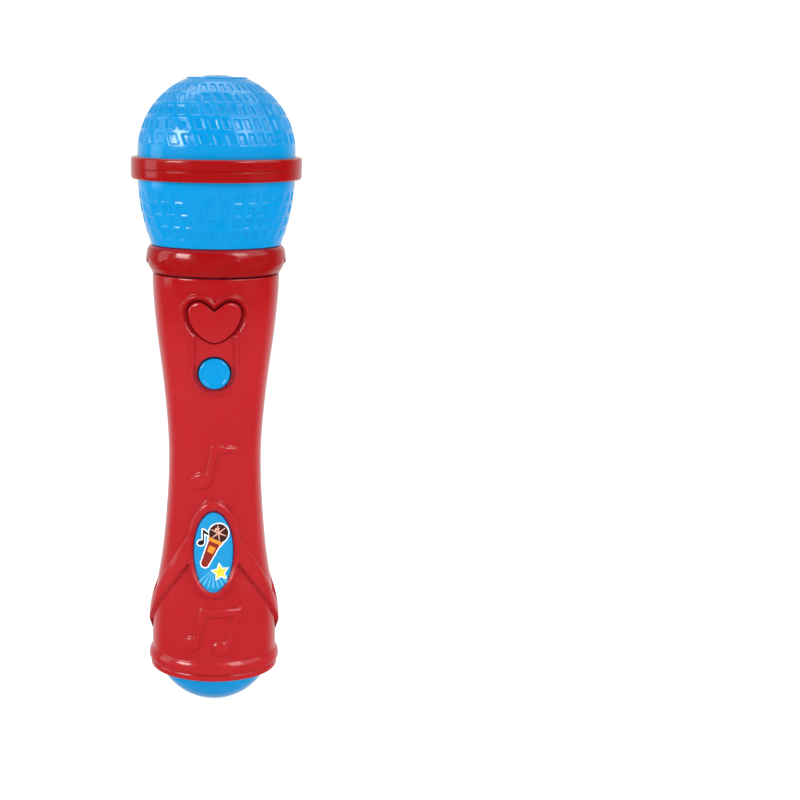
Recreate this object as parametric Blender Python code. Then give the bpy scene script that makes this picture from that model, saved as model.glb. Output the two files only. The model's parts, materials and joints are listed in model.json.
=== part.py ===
"""A toy hand microphone: two-shell handle, grille head, two push buttons, speaker and battery bay.

Sizes below are in millimetres; MM turns them into Blender's metres where a mesh is made.
The origin is at the bottom of the domed foot, +Z runs up the handle, and the buttons face -Y.
"""

import math

import bmesh
import bpy
from mathutils import Matrix, Vector

MM = 0.001
GAP = 0.3                      # air between two pieces that touch
ROUND = 28                     # facets round a large turned piece
SMALL_ROUND = 10               # facets round a screw or a hole

# Handle, outer surface: (height, radius), from the foot rim to the collar
HANDLE_CURVE = ((21.6, 23.9), (30, 23.8), (42, 22.75), (56, 20.6), (76, 18.5),
                (97, 17.7), (118, 18.9), (138, 21.3), (154, 23.2), (167, 23.8))
HANDLE_TOP = 167.0
HANDLE_LOW = 13.8
WALL = 2.0
PARTING_ANGLE = math.radians(0.35)   # each half stops this far short of the parting plane

# Foot
RIM_RADIUS = 25.2
RIM_TOP = 21.4
LOWER_BAND_RADIUS = 24.5
LOWER_BAND_TOP = 16.2
FOOT_SPHERE_RADIUS = 23.0
FOOT_TUBE_RADIUS = 21.0
FOOT_WALL = 1.8
FOOT_FLANGE = (22.6, 15.8, 17.4)     # radius, low, high

# Head
DOME_RADIUS = 29.4
DOME_CENTRE = 211.5
HEAD_WALL = 1.8
EQUATOR = 206.2                      # where the dome meets the cup
CROWN_DISC_RADIUS = 10.5
CROWN_DISC_TOP = 239.2
CROWN_BOSS_RADIUS = 5.5
TOTAL_HEIGHT = 240.0
CUP_CURVE = ((177.8, 24.4), (179.5, 24.9), (185, 26.7), (191.5, 28.2), (199, 29.1), (205.6, 29.4))
NECK_RADIUS = 19.6
NECK_WALL = 2.0
NECK_FLANGE = (21.2, 162.0, 163.8)
RING_RADIUS = 31.9
RING_LOW, RING_HIGH = 202.0, 210.3
COLLAR_RADIUS = 26.0
COLLAR_LOW, COLLAR_HIGH = 167.5, 177.5

# Buttons
HEART_LOBE = (5.8, 154.5, 4.1)       # centre x, centre z, radius
HEART_TIP = (147.0, 3.7)             # centre z, radius
HEART_SIDE_RADIUS = 12.5
HEART_NOTCH_SLOPE = 39.0             # degrees from level
ROUND_Z = 131.8
ROUND_RADIUS = 5.8
HEART_GAP = 0.5                      # between each cap and its hole in the wall
ROUND_GAP = 0.55
HEART_PROUD = 0.9                    # each cap above the handle's surface
ROUND_PROUD = 1.3
HEART_FLANGE = (0.9, -17.2, -16.4)   # grown past the outline, near y, far y
ROUND_FLANGE = (7.0, -16.7)          # radius, near y

# Raised work on the front
BEAD_HEIGHT = 0.7
BEAD_OFFSET = 2.65
BEAD_WIDTH = 1.4
PANEL_RADIUS = 8.6
PANEL_TOP = 144.8
NOTE_HEIGHT = 0.8
BADGE_Z = 64.2
BADGE_HALF = (7.6, 15.6)             # half width, half height of the recess
BADGE_LIFT = (0.35, 0.95)            # the label's back and face above the handle's surface
BADGE_FRAME_HALF = (9.65, 18.9)
BADGE_FRAME_HEIGHT = 1.5
STRAP_HEIGHT = 1.3
STRAP_START, STRAP_END = 28.0, 89.6  # degrees from the middle of the face
STRAP_TOP_START, STRAP_SLOPE = 69.5, 0.44
STRAP_WIDTH = 11.8

# Circuit board and switches
BOARD = (21.0, 113.0, 155.5)         # width, low, high
BOARD_Y = (-10.1, -8.5)
SWITCH_SIZE = 6.0
SWITCH_Y = (-13.9, -10.4)
PLUNGER_Y = (-15.7, -14.2)
HEART_SWITCH_Z = 151.0

# Battery bay, open to the rear
CELL_RADIUS, CELL_LENGTH = 5.25, 44.5
CELL_X, CELL_Y = 5.5, 4.4
TRAY_X = 12.0
TRAY_WALL = 1.2
TRAY_Y = (-3.2, 8.6)
TRAY_Z = (34.0, 87.8)
COVER_X = 12.3
COVER_Z = (33.0, 96.0)
COVER_SCREW_Z = 91.5
COVER_SCREW_SINK = 1.2               # the screw's seat below the handle's surface
COVER_BOSS_Y = 3.0                   # where the screw's boss on the tray starts

# Screws that close the handle: (x, z)
CASE_SCREWS = ((-14.6, 142), (14.6, 142), (0, 104), (-13.5, 25.5), (13.5, 25.5))
CASE_SCREW_SEAT = 4.0                # y of the well's floor
CASE_SCREW_TIP = -8.5
BOARD_SCREWS = ((-8.2, 118), (8.2, 118), (-8.2, 139), (8.2, 139))
BRACKET_SCREW_ANGLES = (90, 210, 330)
BRACKET_SCREW_RADIUS = 21.3

# Speaker
SPEAKER_RADIUS = 18.0
BRACKET_Z = (194.6, 196.6)


# ---------------------------------------------------------------- helpers

def clear_scene():
    for obj in list(bpy.data.objects):
        bpy.data.objects.remove(obj, do_unlink=True)


def through(points, z):
    """Radius at height z on the smooth curve through (height, radius) points."""
    points = list(points)
    if z <= points[0][0]:
        return points[0][1]
    if z >= points[-1][0]:
        return points[-1][1]
    slopes = []
    for i in range(len(points)):
        low = points[max(i - 1, 0)]
        high = points[min(i + 1, len(points) - 1)]
        slopes.append((high[1] - low[1]) / (high[0] - low[0]))
    for i in range(len(points) - 1):
        (z0, r0), (z1, r1) = points[i], points[i + 1]
        if z0 <= z <= z1:
            span = z1 - z0
            t = (z - z0) / span
            a = (1 + 2 * t) * (1 - t) ** 2
            b = t * (1 - t) ** 2
            c = t * t * (3 - 2 * t)
            d = t * t * (t - 1)
            return a * r0 + b * span * slopes[i] + c * r1 + d * span * slopes[i + 1]
    raise ValueError(z)


def handle_radius(z):
    return through(HANDLE_CURVE, z)


def steps(low, high, count):
    return [low + (high - low) * i / count for i in range(count + 1)]


def finish(name, colour, roughness=0.3, metallic=0.0):
    material = bpy.data.materials.get(name)
    if material is None:
        material = bpy.data.materials.new(name)
        material.use_nodes = True
        shader = material.node_tree.nodes["Principled BSDF"]
        shader.inputs["Base Color"].default_value = (*colour, 1)
        shader.inputs["Roughness"].default_value = roughness
        shader.inputs["Metallic"].default_value = metallic
    return material


def add(name, mesh_work, material=None, smooth=math.radians(32)):
    """A new object whose mesh is made by mesh_work(bm), in millimetres."""
    bm = bmesh.new()
    mesh_work(bm)
    bmesh.ops.recalc_face_normals(bm, faces=bm.faces[:])
    bmesh.ops.scale(bm, vec=(MM, MM, MM), verts=bm.verts[:])
    mesh = bpy.data.meshes.new(name)
    bm.to_mesh(mesh)
    bm.free()
    if smooth:
        mesh.shade_smooth()
        mesh.set_sharp_from_angle(angle=smooth)
    obj = bpy.data.objects.new(name, mesh)
    bpy.context.scene.collection.objects.link(obj)
    if material:
        obj.data.materials.append(material)
    return obj


def helper(name, mesh_work):
    """A cutter or guide, which is not a piece of the toy."""
    obj = add(name, mesh_work, smooth=None)
    obj.hide_render = True
    obj.display_type = "WIRE"
    return obj


def boolean(obj, other, operation, self_crossing=False):
    modifier = obj.modifiers.new(operation.lower() + "_" + other.name, "BOOLEAN")
    modifier.operation = operation
    modifier.solver = "EXACT"
    modifier.use_self = self_crossing
    modifier.object = other


def turn(bm, section, facets=ROUND, start=0.0, sweep=2 * math.pi):
    """A closed (radius, height) section turned about Z."""
    spin = Matrix.Rotation(start, 3, "Z")
    verts = [bm.verts.new(spin @ Vector((r, 0, z))) for r, z in section]
    edges = [bm.edges.new((verts[i], verts[(i + 1) % len(verts)])) for i in range(len(verts))]
    whole = sweep > 2 * math.pi - 1e-6
    bmesh.ops.spin(bm, geom=verts + edges, cent=(0, 0, 0), axis=(0, 0, 1),
                   angle=sweep, steps=facets, use_merge=whole)
    bmesh.ops.remove_doubles(bm, verts=bm.verts[:], dist=1e-4)
    if not whole:
        rim = [e for e in bm.edges if len(e.link_faces) == 1]
        bmesh.ops.holes_fill(bm, edges=rim, sides=0)


def prism(bm, outline, y0, y1):
    """An (x, z) outline extruded along Y."""
    face = bm.faces.new([bm.verts.new((x, y0, z)) for x, z in outline])
    made = bmesh.ops.extrude_face_region(bm, geom=[face])["geom"]
    moved = [v for v in made if isinstance(v, bmesh.types.BMVert)]
    bmesh.ops.translate(bm, verts=moved, vec=(0, y1 - y0, 0))


def block(bm, x, y, z):
    """A box between two corners, each axis given as (low, high)."""
    prism(bm, ((x[0], z[0]), (x[1], z[0]), (x[1], z[1]), (x[0], z[1])), y[0], y[1])


def rod(bm, x, z, radius, y0, y1, facets=SMALL_ROUND, far_radius=None):
    """A round rod along Y, or a cone when far_radius differs."""
    far = radius if far_radius is None else far_radius
    place = Matrix.Translation((x, (y0 + y1) / 2, z)) @ Matrix.Rotation(-math.pi / 2, 4, "X")
    bmesh.ops.create_cone(bm, cap_ends=True, cap_tris=False, segments=facets,
                          radius1=radius, radius2=far, depth=y1 - y0, matrix=place)


def post(bm, x, y, radius, z0, z1, facets=SMALL_ROUND):
    """A round post along Z."""
    place = Matrix.Translation((x, y, (z0 + z1) / 2))
    bmesh.ops.create_cone(bm, cap_ends=True, cap_tris=False, segments=facets,
                          radius1=radius, radius2=radius, depth=z1 - z0, matrix=place)


def arc(cx, cz, radius, a0, a1, count):
    """Points on an arc in the XZ plane, angles in degrees."""
    return [(cx + radius * math.cos(math.radians(a)), cz + radius * math.sin(math.radians(a)))
            for a in steps(a0, a1, count)]


def ellipse(cx, cz, half_x, half_z, count=28, lean=0.0):
    points = []
    for i in range(count):
        a = 2 * math.pi * i / count
        x, z = half_x * math.cos(a), half_z * math.sin(a)
        c, s = math.cos(math.radians(lean)), math.sin(math.radians(lean))
        points.append((cx + x * c - z * s, cz + x * s + z * c))
    return points


def heart_outline(offset=0.0):
    """Two lobes and a tip joined by bowed sides, with a straight-sided notch, grown by offset."""
    cx, cz, lobe = HEART_LOBE
    tip_z, tip = HEART_TIP
    to_lobe, to_tip = HEART_SIDE_RADIUS - lobe, HEART_SIDE_RADIUS - tip
    apart = math.hypot(cx, cz - tip_z)
    bearing = math.atan2(cz - tip_z, cx)
    corner = math.acos((apart ** 2 + to_tip ** 2 - to_lobe ** 2) / (2 * apart * to_tip))
    side_x, side_z = to_tip * math.cos(bearing + corner), tip_z + to_tip * math.sin(bearing + corner)
    high = math.degrees(math.atan2(cz - side_z, cx - side_x))
    low = math.degrees(math.atan2(tip_z - side_z, -side_x))
    slope = math.radians(HEART_NOTCH_SLOPE)
    lobe += offset
    tip += offset
    shoulder = (cx - lobe * math.sin(slope), cz + lobe * math.cos(slope))
    notch_z = shoulder[1] - shoulder[0] * math.tan(slope)
    right = arc(cx, cz, lobe, 90 + HEART_NOTCH_SLOPE, high, 7)[:-1]
    right += arc(side_x, side_z, HEART_SIDE_RADIUS + offset, high, low, 4)[:-1]
    right += arc(0, tip_z, tip, low, -90, 3)[:-1]
    left = [(-x, z) for x, z in reversed(right)]
    return [(0, notch_z)] + right + [(0, tip_z - tip)] + left


def capsule(radius):
    """Down the left of the round button's panel, round its foot and up to the heart again."""
    sides = [(x, z) for x, z in ((-radius, PANEL_TOP), (-radius, (PANEL_TOP + ROUND_Z) / 2))]
    return sides + arc(0, ROUND_Z, radius, -180, 0, 12) + [(-x, z) for x, z in reversed(sides)]


def handle_skin(bm, inner, outer, low=HANDLE_LOW + 8, high=HANDLE_TOP - 1, rows=16):
    """Front half of the handle's surface as a thick skin, offsets measured from the surface."""
    heights = steps(low, high, rows)
    section = [(handle_radius(z) + outer, z) for z in heights]
    section += [(handle_radius(z) + inner, z) for z in reversed(heights)]
    turn(bm, section, ROUND // 2, math.pi + 0.03, math.pi - 0.06)


# ---------------------------------------------------------------- handle shells

def handle_section():
    """Closed section of the handle wall with the foot groove and the neck ribs."""
    def inner(z):
        return handle_radius(z) - WALL

    outer = [(21.3, HANDLE_LOW), (24.0, HANDLE_LOW), (LOWER_BAND_RADIUS, HANDLE_LOW + 0.6),
             (LOWER_BAND_RADIUS, LOWER_BAND_TOP), (RIM_RADIUS - 0.2, LOWER_BAND_TOP + 0.5),
             (RIM_RADIUS, LOWER_BAND_TOP + 1.3), (RIM_RADIUS, RIM_TOP - 1.0),
             (RIM_RADIUS - 0.4, RIM_TOP)]
    outer += [(handle_radius(z), z) for z in
              (21.6, 33, 42, 50, 58, 68, 80, 97, 112, 126, 140, 153, HANDLE_TOP)]
    ribs = [(inner(165.9), 165.9), (20.0, 165.9), (20.0, 164.1), (inner(164.1), 164.1),
            (inner(161.7), 161.7), (20.0, 161.7), (20.0, 160.6), (inner(160.6), 160.6)]
    lining = [(inner(z), z) for z in (140, 118, 97, 76, 56, 42, 30, 21.6)]
    groove = [(21.9, 19.4), (21.3, 19.4), (21.3, 17.8), (22.95, 17.8), (22.95, 15.4), (21.3, 15.4)]
    return outer + [(inner(HANDLE_TOP), HANDLE_TOP)] + ribs + lining + groove


def half_shell(name, start, material):
    sweep = math.pi - 2 * PARTING_ANGLE
    return add(name, lambda bm: turn(bm, handle_section(), ROUND // 2, start + PARTING_ANGLE, sweep),
               material)


def handle_core(bm, inside=0.8, low=HANDLE_LOW + 1, high=HANDLE_TOP - 1):
    """Everything within the handle's outer surface less inside; trims what stands on the wall."""
    heights = [low] + steps(22, high, 9)
    section = [(handle_radius(z) - inside, z) for z in heights]
    turn_open(bm, section, low, high)
    bmesh.ops.rotate(bm, verts=bm.verts[:], cent=(0, 0, 0), matrix=Matrix.Rotation(0.05, 3, "Z"))


def strap(bm, side):
    """A ribbon that runs down and outwards from the badge, round to the parting plane."""
    rows = []
    for angle in steps(STRAP_START, STRAP_END, 9):
        top = STRAP_TOP_START - STRAP_SLOPE * (angle - STRAP_START)
        a = math.radians(angle)
        ring = []
        for z, lift in ((top - STRAP_WIDTH, -1.0), (top - STRAP_WIDTH, STRAP_HEIGHT - 0.2),
                        (top - 1.5, STRAP_HEIGHT), (top, STRAP_HEIGHT - 0.6), (top + 0.6, -1.0)):
            r = handle_radius(z) + lift
            ring.append(bm.verts.new((side * r * math.sin(a), -r * math.cos(a), z)))
        rows.append(ring)
    for first, second in zip(rows, rows[1:]):
        for i in range(len(first)):
            j = (i + 1) % len(first)
            bm.faces.new((first[i], first[j], second[j], second[i]))
    bm.faces.new(rows[0])
    bm.faces.new(rows[-1])


def on_handle(x, z, lift):
    """The point of the handle's front at (x, z), raised by lift."""
    return (x, -math.sqrt((handle_radius(z) + lift) ** 2 - x * x), z)


def band(bm, inner, outer, lift, closed=True):
    """A raised strip on the handle's front between two outlines of equal length."""
    rows = []
    for (x0, z0), (x1, z1) in zip(inner, outer):
        rows.append([bm.verts.new(on_handle(x, z, h)) for x, z, h in
                     ((x0, z0, -1.0), (x0, z0, lift), (x1, z1, lift), (x1, z1, -1.0))])
    pairs = list(zip(rows, rows[1:]))
    if closed:
        pairs.append((rows[-1], rows[0]))
    else:
        bm.faces.new(rows[0])
        bm.faces.new(rows[-1])
    for first, second in pairs:
        for i in range(4):
            j = (i + 1) % 4
            bm.faces.new((first[i], first[j], second[j], second[i]))


def note_prisms(bm):
    """Outlines of a single note and of a beamed pair, standing through the surface."""
    deep, near = -10.0, -30.0
    for cx, cz, half_x, half_z in ((-5.0, 90.3, 3.9, 3.2), (-8.1, 28.6, 3.1, 3.1), (3.0, 26.9, 3.1, 3.0)):
        prism(bm, ellipse(cx, cz, half_x, half_z, 18, 12), near, deep)
    single_stem = ((-3.2, 90.0), (-1.2, 89.5), (1.2, 101.2), (8.6, 101.7), (9.0, 103.0), (-1.0, 103.2))
    beam = ((-7.4, 28.6), (-5.0, 28.0), (-2.5, 38.6), (7.6, 38.9), (4.0, 27.5), (6.2, 26.8),
            (10.6, 39.6), (11.0, 41.9), (-4.4, 42.0))
    for outline in (single_stem, beam):
        prism(bm, outline, near, deep)


def front_shell(material):
    """Front half with its raised straps, badge frame, notes and button frames, and its bosses."""
    shell = half_shell("handle_front", math.pi, material)

    heart_band = helper("guide_heart_band", lambda bm: band(
        bm, heart_outline(BEAD_OFFSET - BEAD_WIDTH), heart_outline(BEAD_OFFSET), BEAD_HEIGHT))
    panel_band = helper("guide_panel_band", lambda bm: band(
        bm, capsule(PANEL_RADIUS - BEAD_WIDTH), capsule(PANEL_RADIUS), BEAD_HEIGHT - 0.05, closed=False))
    oval_band = helper("guide_oval_band", lambda bm: band(
        bm, ellipse(0, BADGE_Z, *BADGE_HALF), ellipse(0, BADGE_Z + 0.5, *BADGE_FRAME_HALF),
        BADGE_FRAME_HEIGHT))

    notes = helper("guide_notes", note_prisms)
    note_skin = helper("guide_note_skin", lambda bm: handle_skin(bm, -1.0, NOTE_HEIGHT, 22.5, 108, 11))
    boolean(note_skin, notes, "INTERSECT", self_crossing=True)

    for side, label in ((-1, "left"), (1, "right")):
        boolean(shell, helper("guide_strap_" + label, lambda bm, s=side: strap(bm, s)), "UNION")
    for relief in (oval_band, heart_band, panel_band, note_skin):
        boolean(shell, relief, "UNION")

    def bosses(bm):
        for x, z in CASE_SCREWS:
            rod(bm, x, z, 3.0, -40, -GAP)
        for x, z in BOARD_SCREWS:
            rod(bm, x, z, 2.2, -40, BOARD_Y[0] - GAP)
        for z in (47.0, 74.0):
            block(bm, (-9.0, 9.0), (-40, TRAY_Y[0] - GAP), (z - 0.8, z + 0.8))

    def holes(bm):
        for x, z in CASE_SCREWS:
            rod(bm, x, z, 1.4, -9.5, 1.0)
        for x, z in BOARD_SCREWS:
            rod(bm, x, z, 1.15, BOARD_Y[0] - 3.4, BOARD_Y[0] + 2)

    posts = helper("guide_front_bosses", bosses)
    boolean(posts, helper("guide_front_core", handle_core), "INTERSECT")
    boolean(shell, posts, "UNION")
    boolean(shell, helper("cut_front_pilots", holes), "DIFFERENCE")
    boolean(shell, helper("cut_heart", lambda bm: prism(bm, heart_outline(HEART_GAP), -30, -13)),
            "DIFFERENCE")
    boolean(shell, helper("cut_round", lambda bm: rod(bm, 0, ROUND_Z, ROUND_RADIUS + ROUND_GAP,
                                                      -30, -12, 24)), "DIFFERENCE")
    return shell


def cover_block(bm, grow):
    block(bm, (-COVER_X + grow, COVER_X - grow), (8.0, 40.0), (COVER_Z[0] + grow, COVER_Z[1] - grow))


def rear_shell(material):
    """Rear half with screw wells, the straps' continuation and the battery opening."""
    shell = half_shell("handle_rear", 0.0, material)
    for side, label in ((-1, "left"), (1, "right")):
        def turned_strap(bm, s=side):
            strap(bm, s)
            bmesh.ops.rotate(bm, verts=bm.verts[:], cent=(0, 0, 0),
                             matrix=Matrix.Rotation(math.pi, 3, "Z"))
        boolean(shell, helper("guide_rear_strap_" + label, turned_strap), "UNION")

    def bosses(bm):
        for x, z in CASE_SCREWS:
            rod(bm, x, z, 3.6, GAP, 40)

    def wells(bm):
        for x, z in CASE_SCREWS:
            rod(bm, x, z, 2.7, CASE_SCREW_SEAT, 40)

    def holes(bm):
        for x, z in CASE_SCREWS:
            rod(bm, x, z, 1.4, -1, CASE_SCREW_SEAT + 1)

    posts = helper("guide_rear_bosses", bosses)
    boolean(posts, helper("guide_rear_core", handle_core), "INTERSECT")
    boolean(shell, posts, "UNION")
    boolean(shell, helper("cut_rear_wells", wells), "DIFFERENCE")
    boolean(shell, helper("cut_rear_holes", holes), "DIFFERENCE")
    boolean(shell, helper("cut_cover_opening", lambda bm: cover_block(bm, 0.0)), "DIFFERENCE")
    return shell


def battery_cover(material):
    """A piece of the handle's own surface, with a rebate lip and a hole for its screw."""
    def skin(bm):
        heights = steps(COVER_Z[0] - 4, COVER_Z[1] + 4, 10)
        section = [(handle_radius(z), z) for z in heights]
        section += [(handle_radius(z) - WALL, z) for z in reversed(heights)]
        turn(bm, section, ROUND // 2, 0.3, math.pi - 0.6)

    cover = add("battery_cover", skin, material)
    boolean(cover, helper("keep_cover", lambda bm: cover_block(bm, GAP)), "INTERSECT")
    seat = handle_radius(COVER_SCREW_Z) - COVER_SCREW_SINK
    boolean(cover, helper("cut_cover_hole", lambda bm: rod(bm, 0, COVER_SCREW_Z, 1.6, 5, 40)),
            "DIFFERENCE")
    boolean(cover, helper("cut_cover_sink", lambda bm: rod(bm, 0, COVER_SCREW_Z, 3.0, seat, 40, 16)),
            "DIFFERENCE")
    return cover


# ---------------------------------------------------------------- foot, collar and head

def foot_dome(material):
    radius = FOOT_SPHERE_RADIUS
    inner = radius - FOOT_WALL
    tube_z = radius - math.sqrt(radius ** 2 - FOOT_TUBE_RADIUS ** 2)
    lining_z = radius - math.sqrt(inner ** 2 - (FOOT_TUBE_RADIUS - FOOT_WALL) ** 2)
    flange, low, high = FOOT_FLANGE
    start = math.asin(FOOT_TUBE_RADIUS / radius)
    outside = [(radius * math.sin(a), radius - radius * math.cos(a)) for a in steps(0, start, 8)]
    inside_start = math.asin((FOOT_TUBE_RADIUS - FOOT_WALL) / inner)
    inside = [(inner * math.sin(a), radius - inner * math.cos(a)) for a in steps(inside_start, 0, 5)]
    section = outside[1:-1] + [(FOOT_TUBE_RADIUS, tube_z), (FOOT_TUBE_RADIUS, low), (flange, low),
                               (flange, high), (FOOT_TUBE_RADIUS - FOOT_WALL, high),
                               (FOOT_TUBE_RADIUS - FOOT_WALL, lining_z)] + inside[1:-1]
    return add("foot_dome", lambda bm: turn_open(bm, section, 0.0, FOOT_WALL), material)


def turn_open(bm, section, pole_low, pole_high, facets=ROUND):
    """Turns a section about Z and closes it on the axis at the two pole heights."""
    turn(bm, [(0.0, pole_low)] + section + [(0.0, pole_high)], facets)
    pole = [e for e in bm.edges if e.is_wire or not e.link_faces]
    bmesh.ops.delete(bm, geom=pole, context="EDGES")
    flat = [f for f in bm.faces if f.calc_area() < 1e-7]
    bmesh.ops.delete(bm, geom=flat, context="FACES_ONLY")
    on_axis = [e for e in bm.edges if all(math.hypot(v.co.x, v.co.y) < 1e-5 for v in e.verts)]
    bmesh.ops.delete(bm, geom=on_axis, context="EDGES")


def head_dome(material):
    """Upper half of the grille: a shell with a flat crown, a boss on it and rings of sound holes."""
    low = EQUATOR + 0.55
    start = math.asin((low - DOME_CENTRE) / DOME_RADIUS)
    end = math.acos(CROWN_DISC_RADIUS / DOME_RADIUS)
    outside = [(DOME_RADIUS * math.cos(a), DOME_CENTRE + DOME_RADIUS * math.sin(a))
               for a in steps(start, end, 8)]
    crown = [(CROWN_DISC_RADIUS - 0.2, CROWN_DISC_TOP), (CROWN_BOSS_RADIUS + 0.6, CROWN_DISC_TOP),
             (CROWN_BOSS_RADIUS, TOTAL_HEIGHT)]
    inner = DOME_RADIUS - HEAD_WALL
    lining_start = math.asin((low - DOME_CENTRE) / inner)
    inside = [(inner * math.cos(a), DOME_CENTRE + inner * math.sin(a))
              for a in steps(math.radians(80), lining_start, 6)]
    section = inside + outside + crown
    dome = add("head_dome", lambda bm: turn_open(bm, section, DOME_CENTRE + inner, TOTAL_HEIGHT), material)

    def sound_holes(bm):
        post(bm, 0, 0, 1.0, 230, 245, 8)
        for count, radius, size in ((6, 3.3, 0.9), (10, 8.1, 0.8)):
            for i in range(count):
                a = 2 * math.pi * (i + 0.5) / count
                post(bm, radius * math.cos(a), radius * math.sin(a), size, 230, 245, 8)

    boolean(dome, helper("cut_sound_holes", sound_holes), "DIFFERENCE")
    return dome


def head_cup(material):
    """Lower half of the grille, with the neck that the handle halves grip."""
    flange, flange_low, flange_high = NECK_FLANGE
    bore = NECK_RADIUS - NECK_WALL
    outside = [(through(CUP_CURVE, z), z) for z in (177.8, 181, 185, 190, 195, 200, 205.6)]
    inside = [(through(CUP_CURVE, z) - HEAD_WALL, z) for z in (205.6, 200, 195, 190, 185, 181)]
    section = [(bore, flange_low), (flange, flange_low), (flange, flange_high),
               (NECK_RADIUS, flange_high), (NECK_RADIUS, 177.8)] + outside + inside
    section += [(bore, 179.4)]
    cup = add("head_cup", lambda bm: turn(bm, section), material)

    def spots():
        for angle in BRACKET_SCREW_ANGLES:
            a = math.radians(angle)
            yield BRACKET_SCREW_RADIUS * math.cos(a), BRACKET_SCREW_RADIUS * math.sin(a)

    def posts(bm):
        for x, y in spots():
            post(bm, x, y, 2.4, 178.6, BRACKET_Z[0] - GAP)

    def pilots(bm):
        for x, y in spots():
            post(bm, x, y, 1.2, 186, 200)

    boolean(cup, helper("guide_cup_posts", posts), "UNION")
    boolean(cup, helper("cut_cup_pilots", pilots), "DIFFERENCE")
    return cup


def equator_ring(material):
    """Band round the head; its web is pinched between the dome and the cup."""
    bore = DOME_RADIUS + GAP
    r = RING_RADIUS
    section = [(bore, RING_LOW), (r - 1.0, RING_LOW), (r - 0.2, RING_LOW + 0.9),
               (r, RING_LOW + 3.6), (r - 0.25, RING_LOW + 3.9), (r, RING_LOW + 4.2),
               (r, RING_HIGH - 0.9), (r - 0.8, RING_HIGH), (bore, RING_HIGH),
               (bore, EQUATOR + 0.25), (27.9, EQUATOR + 0.25), (27.9, EQUATOR - 0.25),
               (bore, EQUATOR - 0.25)]
    return add("equator_ring", lambda bm: turn(bm, section), material)


def collar(material):
    """Rounded ring where the handle meets the head, hollow behind its face."""
    r = COLLAR_RADIUS
    section = [(19.95, COLLAR_HIGH), (24.6, COLLAR_HIGH), (25.5, COLLAR_HIGH - 1.0),
               (r, COLLAR_HIGH - 3.2), (r, COLLAR_HIGH - 5.6), (25.3, COLLAR_HIGH - 7.8),
               (24.0, COLLAR_LOW), (22.4, COLLAR_LOW), (23.8, 171.0), (23.8, 174.6),
               (22.2, 175.2), (22.2, COLLAR_LOW), (19.95, COLLAR_LOW)]
    return add("neck_collar", lambda bm: turn(bm, section), material)


# ---------------------------------------------------------------- buttons and switches

def heart_button(material):
    """Heart cap that follows the handle's curve, with a flange behind the wall and a stem."""
    cap = add("heart_button", lambda bm: prism(bm, heart_outline(), -26.0, -16.9), material)
    face = helper("keep_heart_face", lambda bm: turn(
        bm, [(5, 138)] + [(handle_radius(z) + HEART_PROUD, z) for z in steps(138, 166, 5)] + [(5, 166)],
        start=0.05))
    boolean(cap, face, "INTERSECT")
    grown, near, far = HEART_FLANGE
    flange = helper("guide_heart_flange", lambda bm: prism(bm, heart_outline(grown), near, far))
    stem = helper("guide_heart_stem", lambda bm: rod(bm, 0, HEART_SWITCH_Z, 2.0, -16.8, PLUNGER_Y[0] - GAP))
    boolean(cap, flange, "UNION")
    boolean(cap, stem, "UNION")
    return cap


def round_button(material):
    """Round cap with a chamfered rim and a flange behind the wall."""
    face = -handle_radius(ROUND_Z) - ROUND_PROUD
    back = PLUNGER_Y[0] - GAP
    flange, near = ROUND_FLANGE
    section = [(ROUND_RADIUS - 0.7, face), (ROUND_RADIUS, face + 0.8), (ROUND_RADIUS, near),
               (flange, near), (flange, back)]

    def cap(bm):
        turn_open(bm, section, face, back, 24)
        bmesh.ops.rotate(bm, verts=bm.verts[:], cent=(0, 0, 0), matrix=Matrix.Rotation(-math.pi / 2, 3, "X"))
        bmesh.ops.translate(bm, verts=bm.verts[:], vec=(0, 0, ROUND_Z))

    return add("round_button", cap, material)


def switches(black, steel):
    """Two tactile switches, each a case with a plunger that its button pushes."""
    for label, z in (("heart", HEART_SWITCH_Z), ("round", ROUND_Z)):
        half = SWITCH_SIZE / 2
        case = add(label + "_switch", lambda bm: block(bm, (-half, half), SWITCH_Y, (z - half, z + half)),
                   steel)
        boolean(case, helper("cut_" + label + "_switch", lambda bm: rod(
            bm, 0, z, 1.9, SWITCH_Y[0] - 1, SWITCH_Y[1] - 1.2, 12)), "DIFFERENCE")
        add(label + "_plunger", lambda bm: rod(bm, 0, z, 1.6, PLUNGER_Y[0], SWITCH_Y[0] + 0.9, 12), black)


def circuit_board(green, black, steel, sleeve):
    width, low, high = BOARD
    board = add("circuit_board", lambda bm: block(bm, (-width / 2, width / 2), BOARD_Y, (low, high)), green)

    def holes(bm):
        for x, z in BOARD_SCREWS:
            rod(bm, x, z, 1.35, BOARD_Y[0] - 1, BOARD_Y[1] + 1)

    boolean(board, helper("cut_board_holes", holes), "DIFFERENCE")
    back = BOARD_Y[1] + GAP
    add("sound_chip", lambda bm: rod(bm, 0, 130, 4.2, back, back + 1.6, 16, 2.8), black)
    add("capacitor", lambda bm: rod(bm, 5.5, 147, 2.5, back, back + 6.0, 16), sleeve)
    for i, (x, z) in enumerate(BOARD_SCREWS):
        screw("board_screw_%d" % (i + 1), x, z, back, back + 1.2, BOARD_Y[0] - 2.8, 2.0, 0.95, steel)


def screw(name, x, z, seat, top, tip, head, shank, material):
    """A screw along Y with its head at the rear: a pan head from seat to top, a shank to tip."""
    obj = add(name, lambda bm: rod(bm, x, z, head, seat, top, SMALL_ROUND, head * 0.8), material)

    def shaft(bm):
        rod(bm, x, z, shank, tip + 1.2, seat + 0.4, 8)

    def point(bm):
        rod(bm, x, z, 0.3, tip, tip + 1.25, 8, shank)

    boolean(obj, helper("guide_shaft_" + name, shaft), "UNION")
    boolean(obj, helper("guide_point_" + name, point), "UNION")
    return obj


# ---------------------------------------------------------------- battery bay

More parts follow.
